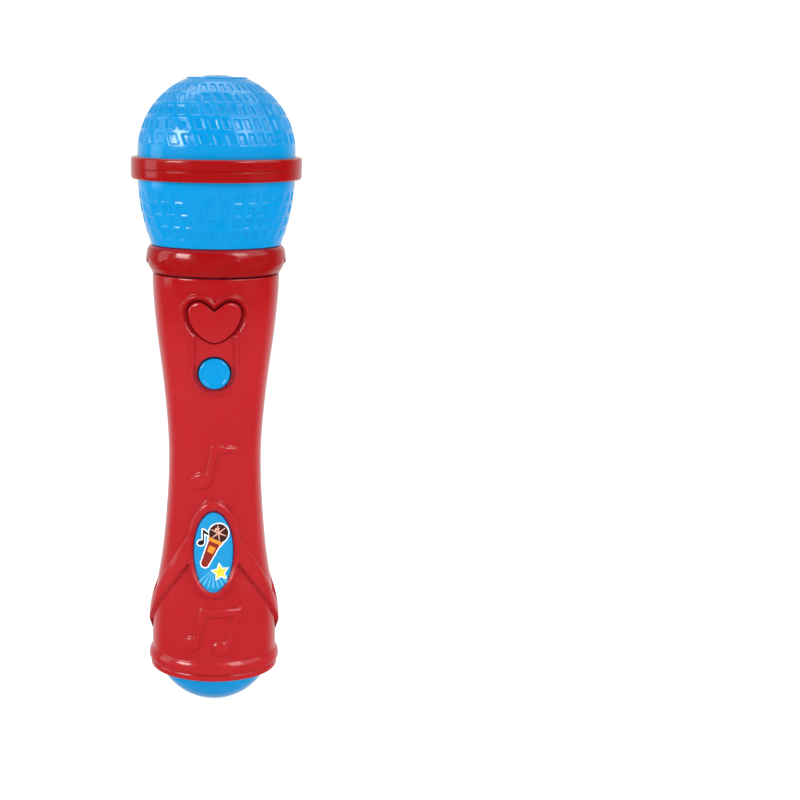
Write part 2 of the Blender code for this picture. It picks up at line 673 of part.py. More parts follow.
def battery_tray(material):
    """Open box for two cells, with the cover's screw boss above it."""
    def box(bm):
        block(bm, (-TRAY_X, TRAY_X), TRAY_Y, TRAY_Z)

    tray = add("battery_tray", box, material)

    def boss(bm):
        block(bm, (-3.4, 3.4), (COVER_BOSS_Y, 12.5), (TRAY_Z[1] - 0.5, COVER_SCREW_Z + 3.2))

    def bay(bm):
        block(bm, (-TRAY_X + TRAY_WALL, TRAY_X - TRAY_WALL), (TRAY_Y[0] + TRAY_WALL, 20),
              (TRAY_Z[0] + TRAY_WALL, TRAY_Z[1] - TRAY_WALL))

    def slots(bm):
        for side in (-1, 1):
            block(bm, (side * CELL_X - 1.6, side * CELL_X + 1.6), (2.9, 4.1),
                  (TRAY_Z[1] - 3, TRAY_Z[1] + 3))

    boolean(tray, helper("guide_tray_boss", boss), "UNION")
    boolean(tray, helper("cut_tray_bay", bay), "DIFFERENCE")
    boolean(tray, helper("cut_tray_slots", slots), "DIFFERENCE")
    boolean(tray, helper("cut_tray_pilot", lambda bm: rod(bm, 0, COVER_SCREW_Z, 1.3, 4.5, 20)),
            "DIFFERENCE")
    return tray


def cell(name, x, low, positive_up, material):
    """An AAA cell; its nub is at the top or at the bottom."""
    shoulder = 0.4
    nub = 1.0
    profile = [(CELL_RADIUS - shoulder, 0.0), (CELL_RADIUS, shoulder),
               (CELL_RADIUS, CELL_LENGTH - nub - shoulder), (CELL_RADIUS - shoulder, CELL_LENGTH - nub),
               (1.9, CELL_LENGTH - nub), (1.9, CELL_LENGTH)]

    def work(bm):
        turn_open(bm, profile, 0.0, CELL_LENGTH, 20)
        if not positive_up:
            bmesh.ops.rotate(bm, verts=bm.verts[:], cent=(0, 0, CELL_LENGTH / 2),
                             matrix=Matrix.Rotation(math.pi, 3, "X"))
        bmesh.ops.translate(bm, verts=bm.verts[:], vec=(x, CELL_Y, low))

    return add(name, work, material)


def coil(name, x, low, high, turns, wire, material, wide_low):
    """A conical contact spring along Z, swept along its own helix."""
    points_per_turn = 9
    count = int(turns * points_per_turn)
    curve = bpy.data.curves.new(name, "CURVE")
    curve.dimensions = "3D"
    curve.bevel_depth = wire / 2 * MM
    curve.bevel_resolution = 1
    curve.use_fill_caps = True
    spline = curve.splines.new("POLY")
    spline.points.add(count)
    wide, narrow = 3.4, 2.2
    for i in range(count + 1):
        t = i / count
        a = 2 * math.pi * turns * t
        radius = wide + (narrow - wide) * (t if wide_low else 1 - t)
        z = low + wire / 2 + (high - low - wire) * t
        spline.points[i].co = ((x + radius * math.cos(a)) * MM, (CELL_Y + radius * math.sin(a)) * MM,
                               z * MM, 1)
    obj = bpy.data.objects.new(name, curve)
    bpy.context.scene.collection.objects.link(obj)
    curve.materials.append(material)
    return obj


def battery_contacts(steel):
    """Bridge, two tabs and two springs; returns the plate heights and the springs' length."""
    floor = TRAY_Z[0] + TRAY_WALL
    roof = TRAY_Z[1] - TRAY_WALL
    plate = 0.4
    y = (CELL_Y - 4.0, CELL_Y + 3.6)
    add("contact_bridge", lambda bm: block(bm, (-9.6, 9.6), y, (floor + GAP, floor + GAP + plate)), steel)
    for label, side in (("positive", -1), ("negative", 1)):
        x = side * CELL_X
        top = roof - GAP
        tab = add("contact_" + label, lambda bm: block(bm, (x - 3.8, x + 3.8), y, (top - plate, top)), steel)
        boolean(tab, helper("guide_tab_" + label, lambda bm: block(
            bm, (x - 1.2, x + 1.2), (3.3, 3.7), (top - 0.2, TRAY_Z[1] + 4.0))), "UNION")
    spring = 4.4
    low_plate = floor + GAP + plate
    high_plate = roof - GAP - plate
    coil("contact_spring_low", -CELL_X, low_plate + GAP, low_plate + GAP + spring, 3.5, 0.6, steel, True)
    coil("contact_spring_high", CELL_X, high_plate - GAP - spring, high_plate - GAP, 3.5, 0.6, steel, False)
    return low_plate, high_plate, spring


def wire(name, route, thickness, material):
    """An insulated lead along a smooth curve through the route's points."""
    points = [Vector(p) for p in route]
    padded = [points[0] * 2 - points[1]] + points + [points[-1] * 2 - points[-2]]
    per_span = 3
    smooth = []
    for i in range(1, len(padded) - 2):
        p0, p1, p2, p3 = padded[i - 1:i + 3]
        for k in range(per_span):
            t = k / per_span
            smooth.append(0.5 * (2 * p1 + (p2 - p0) * t + (2 * p0 - 5 * p1 + 4 * p2 - p3) * t * t
                                 + (3 * p1 - p0 - 3 * p2 + p3) * t ** 3))
    smooth.append(points[-1])
    curve = bpy.data.curves.new(name, "CURVE")
    curve.dimensions = "3D"
    curve.bevel_depth = thickness / 2 * MM
    curve.bevel_resolution = 2
    curve.use_fill_caps = True
    spline = curve.splines.new("POLY")
    spline.points.add(len(smooth) - 1)
    for target, p in zip(spline.points, smooth):
        target.co = (p.x * MM, p.y * MM, p.z * MM, 1)
    obj = bpy.data.objects.new(name, curve)
    bpy.context.scene.collection.objects.link(obj)
    curve.materials.append(material)
    return obj


# ---------------------------------------------------------------- speaker

def speaker(steel, black, paper, white):
    """Frame, magnet and cone, held by a ring-shaped bracket that three screws fix to the cup."""
    flange_low = BRACKET_Z[1] + GAP
    r = SPEAKER_RADIUS
    basket = [(r, flange_low), (r, flange_low + 1.0), (15.9, flange_low + 1.0), (15.9, flange_low + 0.5),
              (10.0, 192.2), (4.2, 192.2), (4.2, 191.4), (10.6, 191.4), (15.6, flange_low)]
    add("speaker_frame", lambda bm: turn(bm, basket, 24), steel)
    add("speaker_magnet", lambda bm: post(bm, 0, 0, 9.6, 185.0, 191.1, 24), black)
    cone = [(15.3, flange_low + 0.9), (15.3, flange_low + 1.5), (14.4, flange_low + 1.5),
            (5.2, 194.4), (3.2, 195.2), (1.4, 195.7)]
    lining = [(1.3, 195.2), (3.0, 194.7), (3.4, 194.4), (3.4, 192.6), (3.9, 192.6), (3.9, 193.7),
              (5.4, 193.7), (14.2, flange_low + 0.7)]
    section = cone[::-1] + lining[::-1]
    add("speaker_cone", lambda bm: turn_open(bm, section, 195.8, 195.3, 24), paper)

    plate = [(16.1, BRACKET_Z[0]), (24.8, BRACKET_Z[0]), (24.8, BRACKET_Z[1]), (16.1, BRACKET_Z[1])]
    bracket = add("speaker_bracket", lambda bm: turn(bm, plate, 32), white)

    def holes(bm):
        for angle in BRACKET_SCREW_ANGLES:
            a = math.radians(angle)
            post(bm, BRACKET_SCREW_RADIUS * math.cos(a), BRACKET_SCREW_RADIUS * math.sin(a), 1.4, 190, 200)
        block(bm, (-1.6, 1.6), (-30.0, -22.6), (190.0, 200.0))

    boolean(bracket, helper("cut_bracket_holes", holes), "DIFFERENCE")
    for i, angle in enumerate(BRACKET_SCREW_ANGLES):
        a = math.radians(angle)
        bracket_screw("bracket_screw_%d" % (i + 1), BRACKET_SCREW_RADIUS * math.cos(a),
                      BRACKET_SCREW_RADIUS * math.sin(a), steel)


def bracket_screw(name, x, y, material):
    """A pan-head screw that points down into the cup's post."""
    seat = BRACKET_Z[1] + GAP
    profile = [(0.5, seat - 8.0), (0.95, seat - 6.6), (0.95, seat), (2.0, seat), (1.9, seat + 0.7),
               (1.3, seat + 1.2)]

    def work(bm):
        turn_open(bm, profile, seat - 8.2, seat + 1.3, 10)
        bmesh.ops.translate(bm, verts=bm.verts[:], vec=(x, y, 0))

    return add(name, work, material)


# ---------------------------------------------------------------- the toy

def main():
    clear_scene()
    red = finish("red_plastic", (0.62, 0.02, 0.025), 0.22)
    blue = finish("blue_plastic", (0.0, 0.33, 0.83), 0.2)
    black = finish("black_part", (0.02, 0.02, 0.02), 0.5)
    white = finish("white_plastic", (0.8, 0.8, 0.78), 0.4)
    green = finish("board_green", (0.02, 0.2, 0.06), 0.45)
    steel = finish("steel", (0.6, 0.6, 0.6), 0.3, 1.0)
    sleeve = finish("capacitor_sleeve", (0.05, 0.07, 0.2), 0.35)
    paper = finish("cone_paper", (0.12, 0.11, 0.1), 0.8)
    label = finish("badge_print", (0.0, 0.4, 0.8), 0.3)
    cell_skin = finish("cell_sleeve", (0.75, 0.5, 0.08), 0.35)
    red_wire = finish("red_wire", (0.6, 0.02, 0.02), 0.4)
    black_wire = finish("black_wire", (0.02, 0.02, 0.02), 0.4)

    front_shell(red)
    rear_shell(red)
    battery_cover(red)
    foot_dome(blue)
    collar(red)
    head_cup(blue)
    head_dome(blue)
    equator_ring(red)

    badge = add("badge", lambda bm: prism(bm, ellipse(0, BADGE_Z, BADGE_HALF[0] - GAP, BADGE_HALF[1] - GAP),
                                          -28, -10), label)
    boolean(badge, helper("keep_badge", lambda bm: handle_skin(bm, *BADGE_LIFT, 44, 84, 8)), "INTERSECT")

    heart_button(red)
    round_button(blue)
    switches(black, steel)
    circuit_board(green, black, steel, sleeve)

    for i, (x, z) in enumerate(CASE_SCREWS):
        screw("case_screw_%d" % (i + 1), x, z, CASE_SCREW_SEAT + GAP, CASE_SCREW_SEAT + 2.0,
              CASE_SCREW_TIP, 2.3, 1.1, steel)

    battery_tray(white)
    low_plate, high_plate, spring = battery_contacts(steel)
    cell("battery_cell_left", -CELL_X, low_plate + 2 * GAP + spring, True, cell_skin)
    cell("battery_cell_right", CELL_X, low_plate + GAP, False, cell_skin)
    seat = handle_radius(COVER_SCREW_Z) - COVER_SCREW_SINK
    screw("cover_screw", 0, COVER_SCREW_Z, seat + 0.1, seat + 1.1, 7.0, 2.6, 1.05, steel)

    speaker(steel, black, paper, white)

    tab_top = TRAY_Z[1] + 4.0 + GAP
    board_back = BOARD_Y[1] + GAP
    wire("battery_lead_red", ((-CELL_X, 3.5, tab_top + 0.7), (-5.9, 3.0, 96), (-6.4, -1.0, 105),
                              (-6.0, -5.6, 112), (-4.0, board_back + 0.8, 114.8)), 1.2, red_wire)
    wire("battery_lead_black", ((CELL_X, 3.5, tab_top + 0.7), (5.9, 3.0, 96), (6.4, -1.0, 105),
                                (6.0, -5.6, 112), (4.0, board_back + 0.8, 114.8)), 1.2, black_wire)
    wire("speaker_lead_red", ((-3.0, board_back + 0.8, 152.5), (-3.2, -4.5, 158), (-5.5, -1.0, 170),
                              (-11.0, 3.0, 180), (-14.6, 4.5, 188), (-13.2, 4.0, 192.4)), 1.2, red_wire)
    wire("speaker_lead_black", ((3.0, board_back + 0.8, 152.5), (3.2, -4.5, 158), (5.5, -1.0, 170),
                                (11.0, 3.0, 180), (14.6, 4.5, 188), (13.2, 4.0, 192.4)), 1.2, black_wire)


main()
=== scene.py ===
"""Looks of the toy microphone: glossy two-colour moulded shells with their real relief.

Lengths are in millimetres; MM turns them into metres where a mesh is made.
"""

import json
import math

import bmesh
import bpy
import numpy as np
from mathutils import Matrix, Vector


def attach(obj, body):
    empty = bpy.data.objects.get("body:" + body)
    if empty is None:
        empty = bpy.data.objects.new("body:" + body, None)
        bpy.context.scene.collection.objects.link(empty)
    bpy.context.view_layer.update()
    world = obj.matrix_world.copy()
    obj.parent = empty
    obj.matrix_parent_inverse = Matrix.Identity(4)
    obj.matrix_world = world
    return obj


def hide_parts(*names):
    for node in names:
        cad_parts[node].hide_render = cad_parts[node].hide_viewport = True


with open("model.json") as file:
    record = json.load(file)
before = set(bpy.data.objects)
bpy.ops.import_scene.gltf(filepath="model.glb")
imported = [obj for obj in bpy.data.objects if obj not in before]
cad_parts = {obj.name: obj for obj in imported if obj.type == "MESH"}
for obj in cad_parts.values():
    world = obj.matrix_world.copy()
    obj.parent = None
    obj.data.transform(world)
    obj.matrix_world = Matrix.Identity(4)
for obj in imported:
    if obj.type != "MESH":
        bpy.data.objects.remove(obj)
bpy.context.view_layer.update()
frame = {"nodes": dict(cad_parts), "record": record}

MM = 0.001
TURN = 2 * math.pi
GAP = 0.3
SEAM = math.radians(0.35)  # each half stops this far short of the parting plane

HANDLE_Z = (21.3, 23.5, 28, 33, 40, 47, 53.5, 60, 69.6, 79, 88.6, 98, 107.5, 116.8, 126, 135, 144.5,
            153.5, 162.7, 167.0)
HANDLE_R = (23.95, 23.95, 23.9, 23.65, 23.0, 22.1, 21.0, 20.05, 19.05, 18.3, 17.8, 17.65, 18.05, 18.8,
            19.75, 20.9, 22.15, 23.1, 23.72, 23.8)
WALL = 2.0

DOME_RADIUS, DOME_CENTRE = 29.4, 211.7
DOME_FOOT, CROWN_RADIUS = 206.75, 11.3
HEAD_WALL = 1.6
TOTAL_HEIGHT = 240.0
CROWN_HOLE_Z = (234, 245)
CROWN_HOLES = ((1, 0, 1.0), (6, 3.3, 0.85), (12, 8.1, 0.8))  # how many, how far out, radius
CUP_Z = (177.8, 179.3, 182.3, 185.3, 188.2, 191.2, 194.2, 197.0, 200.0, 205.6)
CUP_R = (24.4, 24.75, 25.75, 26.7, 27.4, 28.15, 28.6, 28.9, 29.2, 29.4)

HEART_LOBE = (5.8, 154.5, 4.1)  # centre x, centre z, radius
HEART_TIP = (147.0, 3.7)  # centre z, radius
HEART_SIDE_RADIUS = 12.5
HEART_NOTCH_SLOPE = 39.0  # degrees from level
FLANGE_Y = (-17.2, -16.4)  # the heart button's flange, behind the wall
ROUND_Z, ROUND_RADIUS = 131.8, 5.7
HEART_GAP, ROUND_GAP = 0.36, 0.65  # between each cap and its hole in the wall


# ---- numbers and outlines

def curve(x, xs, ys):
    """Smooth curve through (xs, ys) with central-difference slopes."""
    x, xs, ys = (np.asarray(values, float) for values in (x, xs, ys))
    slopes = np.gradient(ys, xs)
    i = np.clip(np.searchsorted(xs, x) - 1, 0, len(xs) - 2)
    span = xs[i + 1] - xs[i]
    t = np.clip((x - xs[i]) / span, 0, 1)
    return ((1 + 2 * t) * (1 - t) ** 2 * ys[i] + t * (1 - t) ** 2 * span * slopes[i]
            + t * t * (3 - 2 * t) * ys[i + 1] + t * t * (t - 1) * span * slopes[i + 1])


def handle_radius(z):
    return curve(z, HANDLE_Z, HANDLE_R)


def wall_rows(heights, depth=0.0):
    """(radius, z) rows of the handle's surface, or this deep below it."""
    return [(float(handle_radius(z)) - depth, z) for z in heights]


def ball_rows(radius, centre, angles):
    """(radius, z) rows of a ball centred on the axis, angles up from level."""
    return [(radius * math.cos(a), centre + radius * math.sin(a)) for a in angles]


def arc(cx, cz, radius, a0, a1, count):
    """Points on an arc, angles in degrees."""
    a = np.radians(np.linspace(a0, a1, count + 1))
    return np.stack([cx + radius * np.cos(a), cz + radius * np.sin(a)], 1)


def heart_outline(offset=0.0):
    """Two lobes and a tip joined by bowed sides, with a straight-sided notch, grown by offset."""
    cx, cz, lobe = HEART_LOBE
    tip_z, tip = HEART_TIP
    to_lobe, to_tip = HEART_SIDE_RADIUS - lobe, HEART_SIDE_RADIUS - tip
    apart = math.hypot(cx, cz - tip_z)
    bearing = math.atan2(cz - tip_z, cx)
    corner = math.acos((apart ** 2 + to_tip ** 2 - to_lobe ** 2) / (2 * apart * to_tip))
    side_x, side_z = to_tip * math.cos(bearing + corner), tip_z + to_tip * math.sin(bearing + corner)
    high = math.degrees(math.atan2(cz - side_z, cx - side_x))
    low = math.degrees(math.atan2(tip_z - side_z, -side_x))
    slope = math.radians(HEART_NOTCH_SLOPE)
    lobe, tip = lobe + offset, tip + offset
    shoulder = np.array((cx - lobe * math.sin(slope), cz + lobe * math.cos(slope)))
    notch = np.array((0, shoulder[1] - shoulder[0] * math.tan(slope)))
    straight = [notch + (shoulder - notch) * t for t in np.linspace(0, 1, 7)[:-1]]
    right = np.concatenate([straight, arc(cx, cz, lobe, 90 + HEART_NOTCH_SLOPE, high, 26)[:-1],
                            arc(side_x, side_z, HEART_SIDE_RADIUS + offset, high, low, 12)[:-1],
                            arc(0, tip_z, tip, low, -90, 10)])
    left = right[-2:0:-1] * (-1, 1)
    return np.concatenate([right, left])


def moved(outline, x, z, turn, size=1.0):
    """An outline scaled, turned by degrees and moved to (x, z)."""
    c, s = math.cos(math.radians(turn)), math.sin(math.radians(turn))
    p = np.asarray(outline, float) * size
    return np.stack([x + p[:, 0] * c - p[:, 1] * s, z + p[:, 0] * s + p[:, 1] * c], 1)


def ellipse(cx, cz, half_x, half_z, count, lean=0.0):
    a = np.linspace(0, TURN, count, endpoint=False)
    return moved(np.stack([half_x * np.cos(a), half_z * np.sin(a)], 1), cx, cz, lean)


def circle(cx, cz, radius, count=48):
    return ellipse(cx, cz, radius, radius, count)


def rounded_box(x0, x1, z0, z1, radius):
    corners = ((x1 - radius, z1 - radius, 0), (x0 + radius, z1 - radius, 90),
               (x0 + radius, z0 + radius, 180), (x1 - radius, z0 + radius, 270))
    return np.concatenate([arc(cx, cz, radius, a, a + 90, 6) for cx, cz, a in corners])


def star():
    """Five points of length 1."""
    a = np.pi / 2 + np.pi * np.arange(10) / 5
    r = np.where(np.arange(10) % 2, 0.45, 1.0)
    return np.stack([r * np.cos(a), r * np.sin(a)], 1)


def grown(outline, by):
    """An outline moved outwards by a distance, with mitred corners."""
    p = np.asarray(outline, float)
    after = np.roll(p, -1, 0)
    if np.sum(p[:, 0] * after[:, 1] - after[:, 0] * p[:, 1]) < 0:
        p = p[::-1]
    e0 = p - np.roll(p, 1, 0)
    e1 = np.roll(p, -1, 0) - p
    n0 = np.stack([e0[:, 1], -e0[:, 0]], 1) / np.linalg.norm(e0, axis=1, keepdims=True)
    n1 = np.stack([e1[:, 1], -e1[:, 0]], 1) / np.linalg.norm(e1, axis=1, keepdims=True)
    mitre = n0 + n1
    mitre /= np.maximum((mitre ** 2).sum(1, keepdims=True) / 2, 0.45)
    return p + mitre * by


def segment_distance(x, z, start, end):
    ex, ez = end[0] - start[0], end[1] - start[1]
    t = np.clip(((x - start[0]) * ex + (z - start[1]) * ez) / (ex * ex + ez * ez + 1e-12), 0, 1)
    return np.hypot(x - start[0] - t * ex, z - start[1] - t * ez)


def outline_distance(x, z, outline):
    """Signed distance to a closed outline, negative inside."""
    best = np.full(x.shape, 1e9)
    inside = np.zeros(x.shape, bool)
    for (x0, z0), (x1, z1) in zip(outline, np.roll(outline, -1, 0)):
        best = np.minimum(best, segment_distance(x, z, (x0, z0), (x1, z1)))
        if z0 != z1:
            crosses = (z0 > z) != (z1 > z)
            inside ^= crosses & (x < x0 + (z - z0) * (x1 - x0) / (z1 - z0))
    return np.where(inside, -best, best)


def rise(d, width):
    """0 outside an outline, 1 inside, with a rounded shoulder of the given width."""
    t = np.clip(-d / width, 0, 1)
    return np.sqrt(t * (2 - t))


def ease(t):
    t = np.clip(t, 0, 1)
    return t * t * (3 - 2 * t)


# ---- mesh makers

def place(name, data):
    """Puts a mesh, light or camera into the scene."""
    obj = bpy.data.objects.new(name, data)
    bpy.context.scene.collection.objects.link(obj)
    return obj


def mesh_from(name, bm):
    mesh = bpy.data.meshes.new(name)
    bm.to_mesh(mesh)
    bm.free()
    return mesh


def smooth(mesh, sharp):
    mesh.shade_smooth()
    mesh.set_sharp_from_angle(angle=math.radians(sharp))


def make_object(name, verts, faces, material, sharp):
    mesh = bpy.data.meshes.new(name)
    mesh.from_pydata(np.asarray(verts) * MM, [], faces)
    mesh.validate()
    mesh.materials.append(material)
    obj = place(name, mesh)
    finish_mesh(obj, sharp)
    return obj


def finish_mesh(obj, sharp):
    """Faces outward, smooth, with edges steeper than sharp degrees kept crisp."""
    bm = bmesh.new()
    bm.from_mesh(obj.data)
    bmesh.ops.recalc_face_normals(bm, faces=bm.faces[:])
    bm.to_mesh(obj.data)
    bm.free()
    smooth(obj.data, sharp)


def lattice_faces(rows, columns, wrap_rows, wrap_columns):
    """Quads of a rows x columns lattice of vertices."""
    i = np.arange(rows if wrap_rows else rows - 1)
    j = np.arange(columns if wrap_columns else columns - 1)
    i, j = np.meshgrid(i, j, indexing="ij")
    i1, j1 = (i + 1) % rows, (j + 1) % columns
    corners = [i * columns + j, i * columns + j1, i1 * columns + j1, i1 * columns + j]
    return np.stack(corners, -1).reshape(-1, 4).tolist()


def around(radius, z, phi):
    """Points at azimuth phi from the front (-Y), positive towards +X."""
    radius, z, phi = np.broadcast_arrays(radius, z, phi)
    return np.stack([radius * np.sin(phi), -radius * np.cos(phi), z], -1)


def lifted(section, tangent, lift, phi):
    """A (radius, z) section's points, turned to the angles phi and moved out by lift."""
    normal = np.stack([tangent[:, 1], -tangent[:, 0]], 1)
    normal /= np.linalg.norm(normal, axis=1, keepdims=True) + 1e-12
    return around(section[:, :1] + lift * normal[:, :1], section[:, 1:] + lift * normal[:, 1:], phi)


def fans(rows, columns):
    """Triangles from a lattice's first and last rows to the two vertices after it."""
    last, start, end = (rows - 1) * columns, rows * columns, rows * columns + 1
    pairs = [(j, (j + 1) % columns) for j in range(columns)]
    return [(start, k, j) for j, k in pairs] + [(end, last + j, last + k) for j, k in pairs]


def turned(name, section, columns, material, relief, sharp, poles=False):
    """A closed (radius, z) section turned all round; relief(phi, r, z) moves the points out.

    With poles the section runs from the axis to the axis and is closed there by fans.
    """
    section = np.asarray(section, float)
    after, before = np.roll(section, -1, 0), np.roll(section, 1, 0)
    if poles:
        after[-1], before[0] = section[-1], section[0]
    phi = np.linspace(-np.pi, np.pi, columns, endpoint=False)[None, :]
    lift = 0.0 if relief is None else relief(phi, section[:, :1], section[:, 1:])
    points = lifted(section, after - before, lift, phi)
    verts = points.reshape(-1, 3)
    faces = lattice_faces(len(section), columns, not poles, True)
    if poles:
        verts = np.concatenate([verts, [(0, 0, points[row, :, 2].mean()) for row in (0, -1)]])
        faces += fans(len(section), columns)
    return make_object(name, verts, faces, material, sharp)


def half_shell(name, phi, outer, outer_lift, inner, material, rear):
    """A shell over part of a turn: fine outer rows with relief, coarse inner rows."""
    columns = len(phi)
    phi = phi[None, :]
    outer, inner = np.asarray(outer, float), np.asarray(inner, float)
    skin = lifted(outer, np.gradient(outer, axis=0), outer_lift, phi)
    lining = around(inner[:, :1], inner[:, 1:], phi)
    rows = len(outer) + len(inner)
    verts = np.concatenate([skin, lining]).reshape(-1, 3)
    faces = lattice_faces(rows, columns, True, False)
    for j in (0, columns - 1):
        front = [i * columns + j for i in range(len(outer))]
        back = [i * columns + j for i in range(rows - 1, len(outer) - 1, -1)]
        faces += bridge(front, back, verts)
    if rear:
        verts = verts * (-1, -1, 1)
    return make_object(name, verts, faces, material, 55)


def bridge(first, second, verts):
    """Triangles between two upward rows of vertices, matched by height."""
    faces = []
    i = j = 0
    while i < len(first) - 1 or j < len(second) - 1:
        if j == len(second) - 1 or (i < len(first) - 1 and verts[first[i + 1]][2] <= verts[second[j + 1]][2]):
            faces.append((first[i], first[i + 1], second[j]))
            i += 1
        else:
            faces.append((first[i], second[j + 1], second[j]))
            j += 1
    return faces


def turn_to_y(cx, cz):
    """Lays a piece turned about Z along Y, on the line through (cx, cz)."""
    return Matrix(((1, 0, 0, cx * MM), (0, 0, 1, 0), (0, -1, 0, cz * MM), (0, 0, 0, 1)))


def cut(obj, cutters, sharp, operation="DIFFERENCE"):
    """Cuts cutters out of a piece, or keeps what is inside them, and removes them."""
    for cutter in cutters:
        modifier = obj.modifiers.new("cut", "BOOLEAN")
        modifier.operation = operation
        modifier.solver = "MANIFOLD"
        modifier.object = cutter
    graph = bpy.context.evaluated_depsgraph_get()
    mesh = bpy.data.meshes.new_from_object(obj.evaluated_get(graph))
    obj.modifiers.clear()
    old = obj.data
    obj.data = mesh
    mesh.name = old.name
    bpy.data.meshes.remove(old)
    for cutter in cutters:
        bpy.data.objects.remove(cutter, do_unlink=True)
    smooth(obj.data, sharp)


def extruded(bm):
    """Extrudes every face and gives the new vertices."""
    made = bmesh.ops.extrude_face_region(bm, geom=bm.faces[:])["geom"]
    return [v for v in made if isinstance(v, bmesh.types.BMVert)]


def prism(outline, y0, y1):
    """A cutter: an (x, z) outline extruded along Y."""
    bm = bmesh.new()
    bm.faces.new([bm.verts.new((x * MM, y0 * MM, z * MM)) for x, z in outline])
    bmesh.ops.translate(bm, verts=extruded(bm), vec=(0, (y1 - y0) * MM, 0))
    bmesh.ops.recalc_face_normals(bm, faces=bm.faces[:])
    return place("cutter", mesh_from("cutter", bm))


def crown_hole(x, y, radius):
    """A cutter: a cylinder that stands along Z through the crown."""
    low, high = CROWN_HOLE_Z
    middle = Matrix.Translation((x * MM, y * MM, (low + high) / 2 * MM))
    bm = bmesh.new()
    bmesh.ops.create_cone(bm, cap_ends=True, segments=20, radius1=radius * MM, radius2=radius * MM,
                          depth=(high - low) * MM, matrix=middle)
    return place("cutter", mesh_from("cutter", bm))


# ---- materials

def new_material(name):
    material = bpy.data.materials.new(name)
    material.use_nodes = True
    tree = material.node_tree
    return material, tree, tree.nodes["Principled BSDF"]


def fill(made, **inputs):
    """Sets a node's inputs; an underscore in a name stands for a space."""
    for key, value in inputs.items():
        made.inputs[key.replace("_", " ")].default_value = value
    return made


def node(tree, kind, **inputs):
    return fill(tree.nodes.new(kind), **inputs)


def coordinate(tree, space):
    return tree.nodes.new("ShaderNodeTexCoord").outputs[space]


def along(tree, space, axis):
    split = tree.nodes.new("ShaderNodeSeparateXYZ")
    tree.links.new(coordinate(tree, space), split.inputs["Vector"])
    return split.outputs[axis]


def noise(tree, scale, detail, roughness=0.5):
    made = node(tree, "ShaderNodeTexNoise", Scale=scale, Detail=detail, Roughness=roughness)
    tree.links.new(coordinate(tree, "Object"), made.inputs["Vector"])
    return made.outputs["Fac"]


def remap(tree, value, start, end, low, high, steps="LINEAR"):
    """Maps start..end to low..high, held at both ends."""
    made = node(tree, "ShaderNodeMapRange", From_Min=start, From_Max=end, To_Min=low, To_Max=high)
    made.interpolation_type = steps
    tree.links.new(value, made.inputs["Value"])
    return made.outputs["Result"]


def spread(tree, value, low, high):
    """Stretches the middle of a noise, where most of it lies, over low..high."""
    return remap(tree, value, 0.3, 0.7, low, high)


def two_tone(tree, value, first, second):
    made = tree.nodes.new("ShaderNodeMix")
    made.data_type = "RGBA"
    fill(made, A=(*first, 1), B=(*second, 1))
    tree.links.new(value, made.inputs["Factor"])
    return made.outputs["Result"]


def dress(tree, shader, colour, roughness, *heights):
    """Links a surface's colour, its roughness, if any, and its (value, mm) bumps."""
    tree.links.new(colour, shader.inputs["Base Color"])
    if roughness is not None:
        tree.links.new(roughness, shader.inputs["Roughness"])
    normal = shader.inputs["Normal"]
    for value, distance in reversed(heights):
        made = node(tree, "ShaderNodeBump", Strength=1.0, Distance=distance * MM)
        tree.links.new(value, made.inputs["Height"])
        tree.links.new(made.outputs["Normal"], normal)
        normal = made.inputs["Normal"]


def surface(name, deep, light, drift, gloss, roughness, *grain):
    """A material whose colour, gloss and bumps follow noises; grain pairs a noise with its height."""
    material, tree, shader = new_material(name)
    tone = two_tone(tree, spread(tree, noise(tree, *drift), 0, 1), deep, light)
    dress(tree, shader, tone, spread(tree, noise(tree, *gloss), *roughness),
          *[(noise(tree, *waves), height) for waves, height in grain])
    return material, tree, shader


TOP_SHADE_START, TOP_SHADE_END = 0.138, 0.167  # metres: where painted shade darkens the handle's red towards the collar


def plastic(name, deep, light, roughness=(0.13, 0.24), flow=0.05, grain=0.0015, coat=0.35, upper=None):
    """Moulded plastic: faint colour drift, smudges in the gloss, flow waves and fine grain; with upper,
    painted shade that darkens it towards the top.
    """
    material, tree, shader = surface(name, deep, light, (38, 4), (160, 5, 0.6), roughness,
                                     ((85, 1), flow), ((2600, 2), grain))
    # painted shade: the base colour darkens into upper as the piece rises, standing in for the collar's
    # shadow and a dimmer reflection there
    if upper is not None:
        height = remap(tree, along(tree, "Object", "Z"), TOP_SHADE_START, TOP_SHADE_END, 0, 1)
        top_shade_blend, base = two_tone(tree, height, light, upper), shader.inputs["Base Color"]
        tree.links.new(base.links[0].from_socket, top_shade_blend.node.inputs["A"])
        tree.links.new(top_shade_blend, base)
    fill(shader, Specular_IOR_Level=0.3, Coat_Weight=coat, Coat_Roughness=0.05)
    return material


def brushed_metal(name, colour):
    """Plated metal, darker in patches, with a fine random scratch in its gloss."""
    material, _, shader = surface(name, [c * 0.8 for c in colour], colour, (240, 4), (900, 3),
                                  (0.22, 0.42), ((1800, 3), 0.01))
    fill(shader, Metallic=1.0)
    return material


# the handle's red; upper is painted shade, the red darkened near the collar
RED = plastic("red_abs", (0.385, 0.012, 0.016), (0.412, 0.016, 0.020), upper=(0.335, 0.004, 0.006))
# painted shade: a darker copy of the handle's red for the equator ring and the neck collar, which sit in
# dimmer light
SHADED_RED = plastic("red_abs_shaded", (0.275, 0.002, 0.003), (0.30, 0.003, 0.004))
BLUE = plastic("blue_abs", (0.0, 0.235, 0.555), (0.0, 0.262, 0.59))
STEEL = brushed_metal("plated_steel", (0.72, 0.71, 0.69))


# ---- head

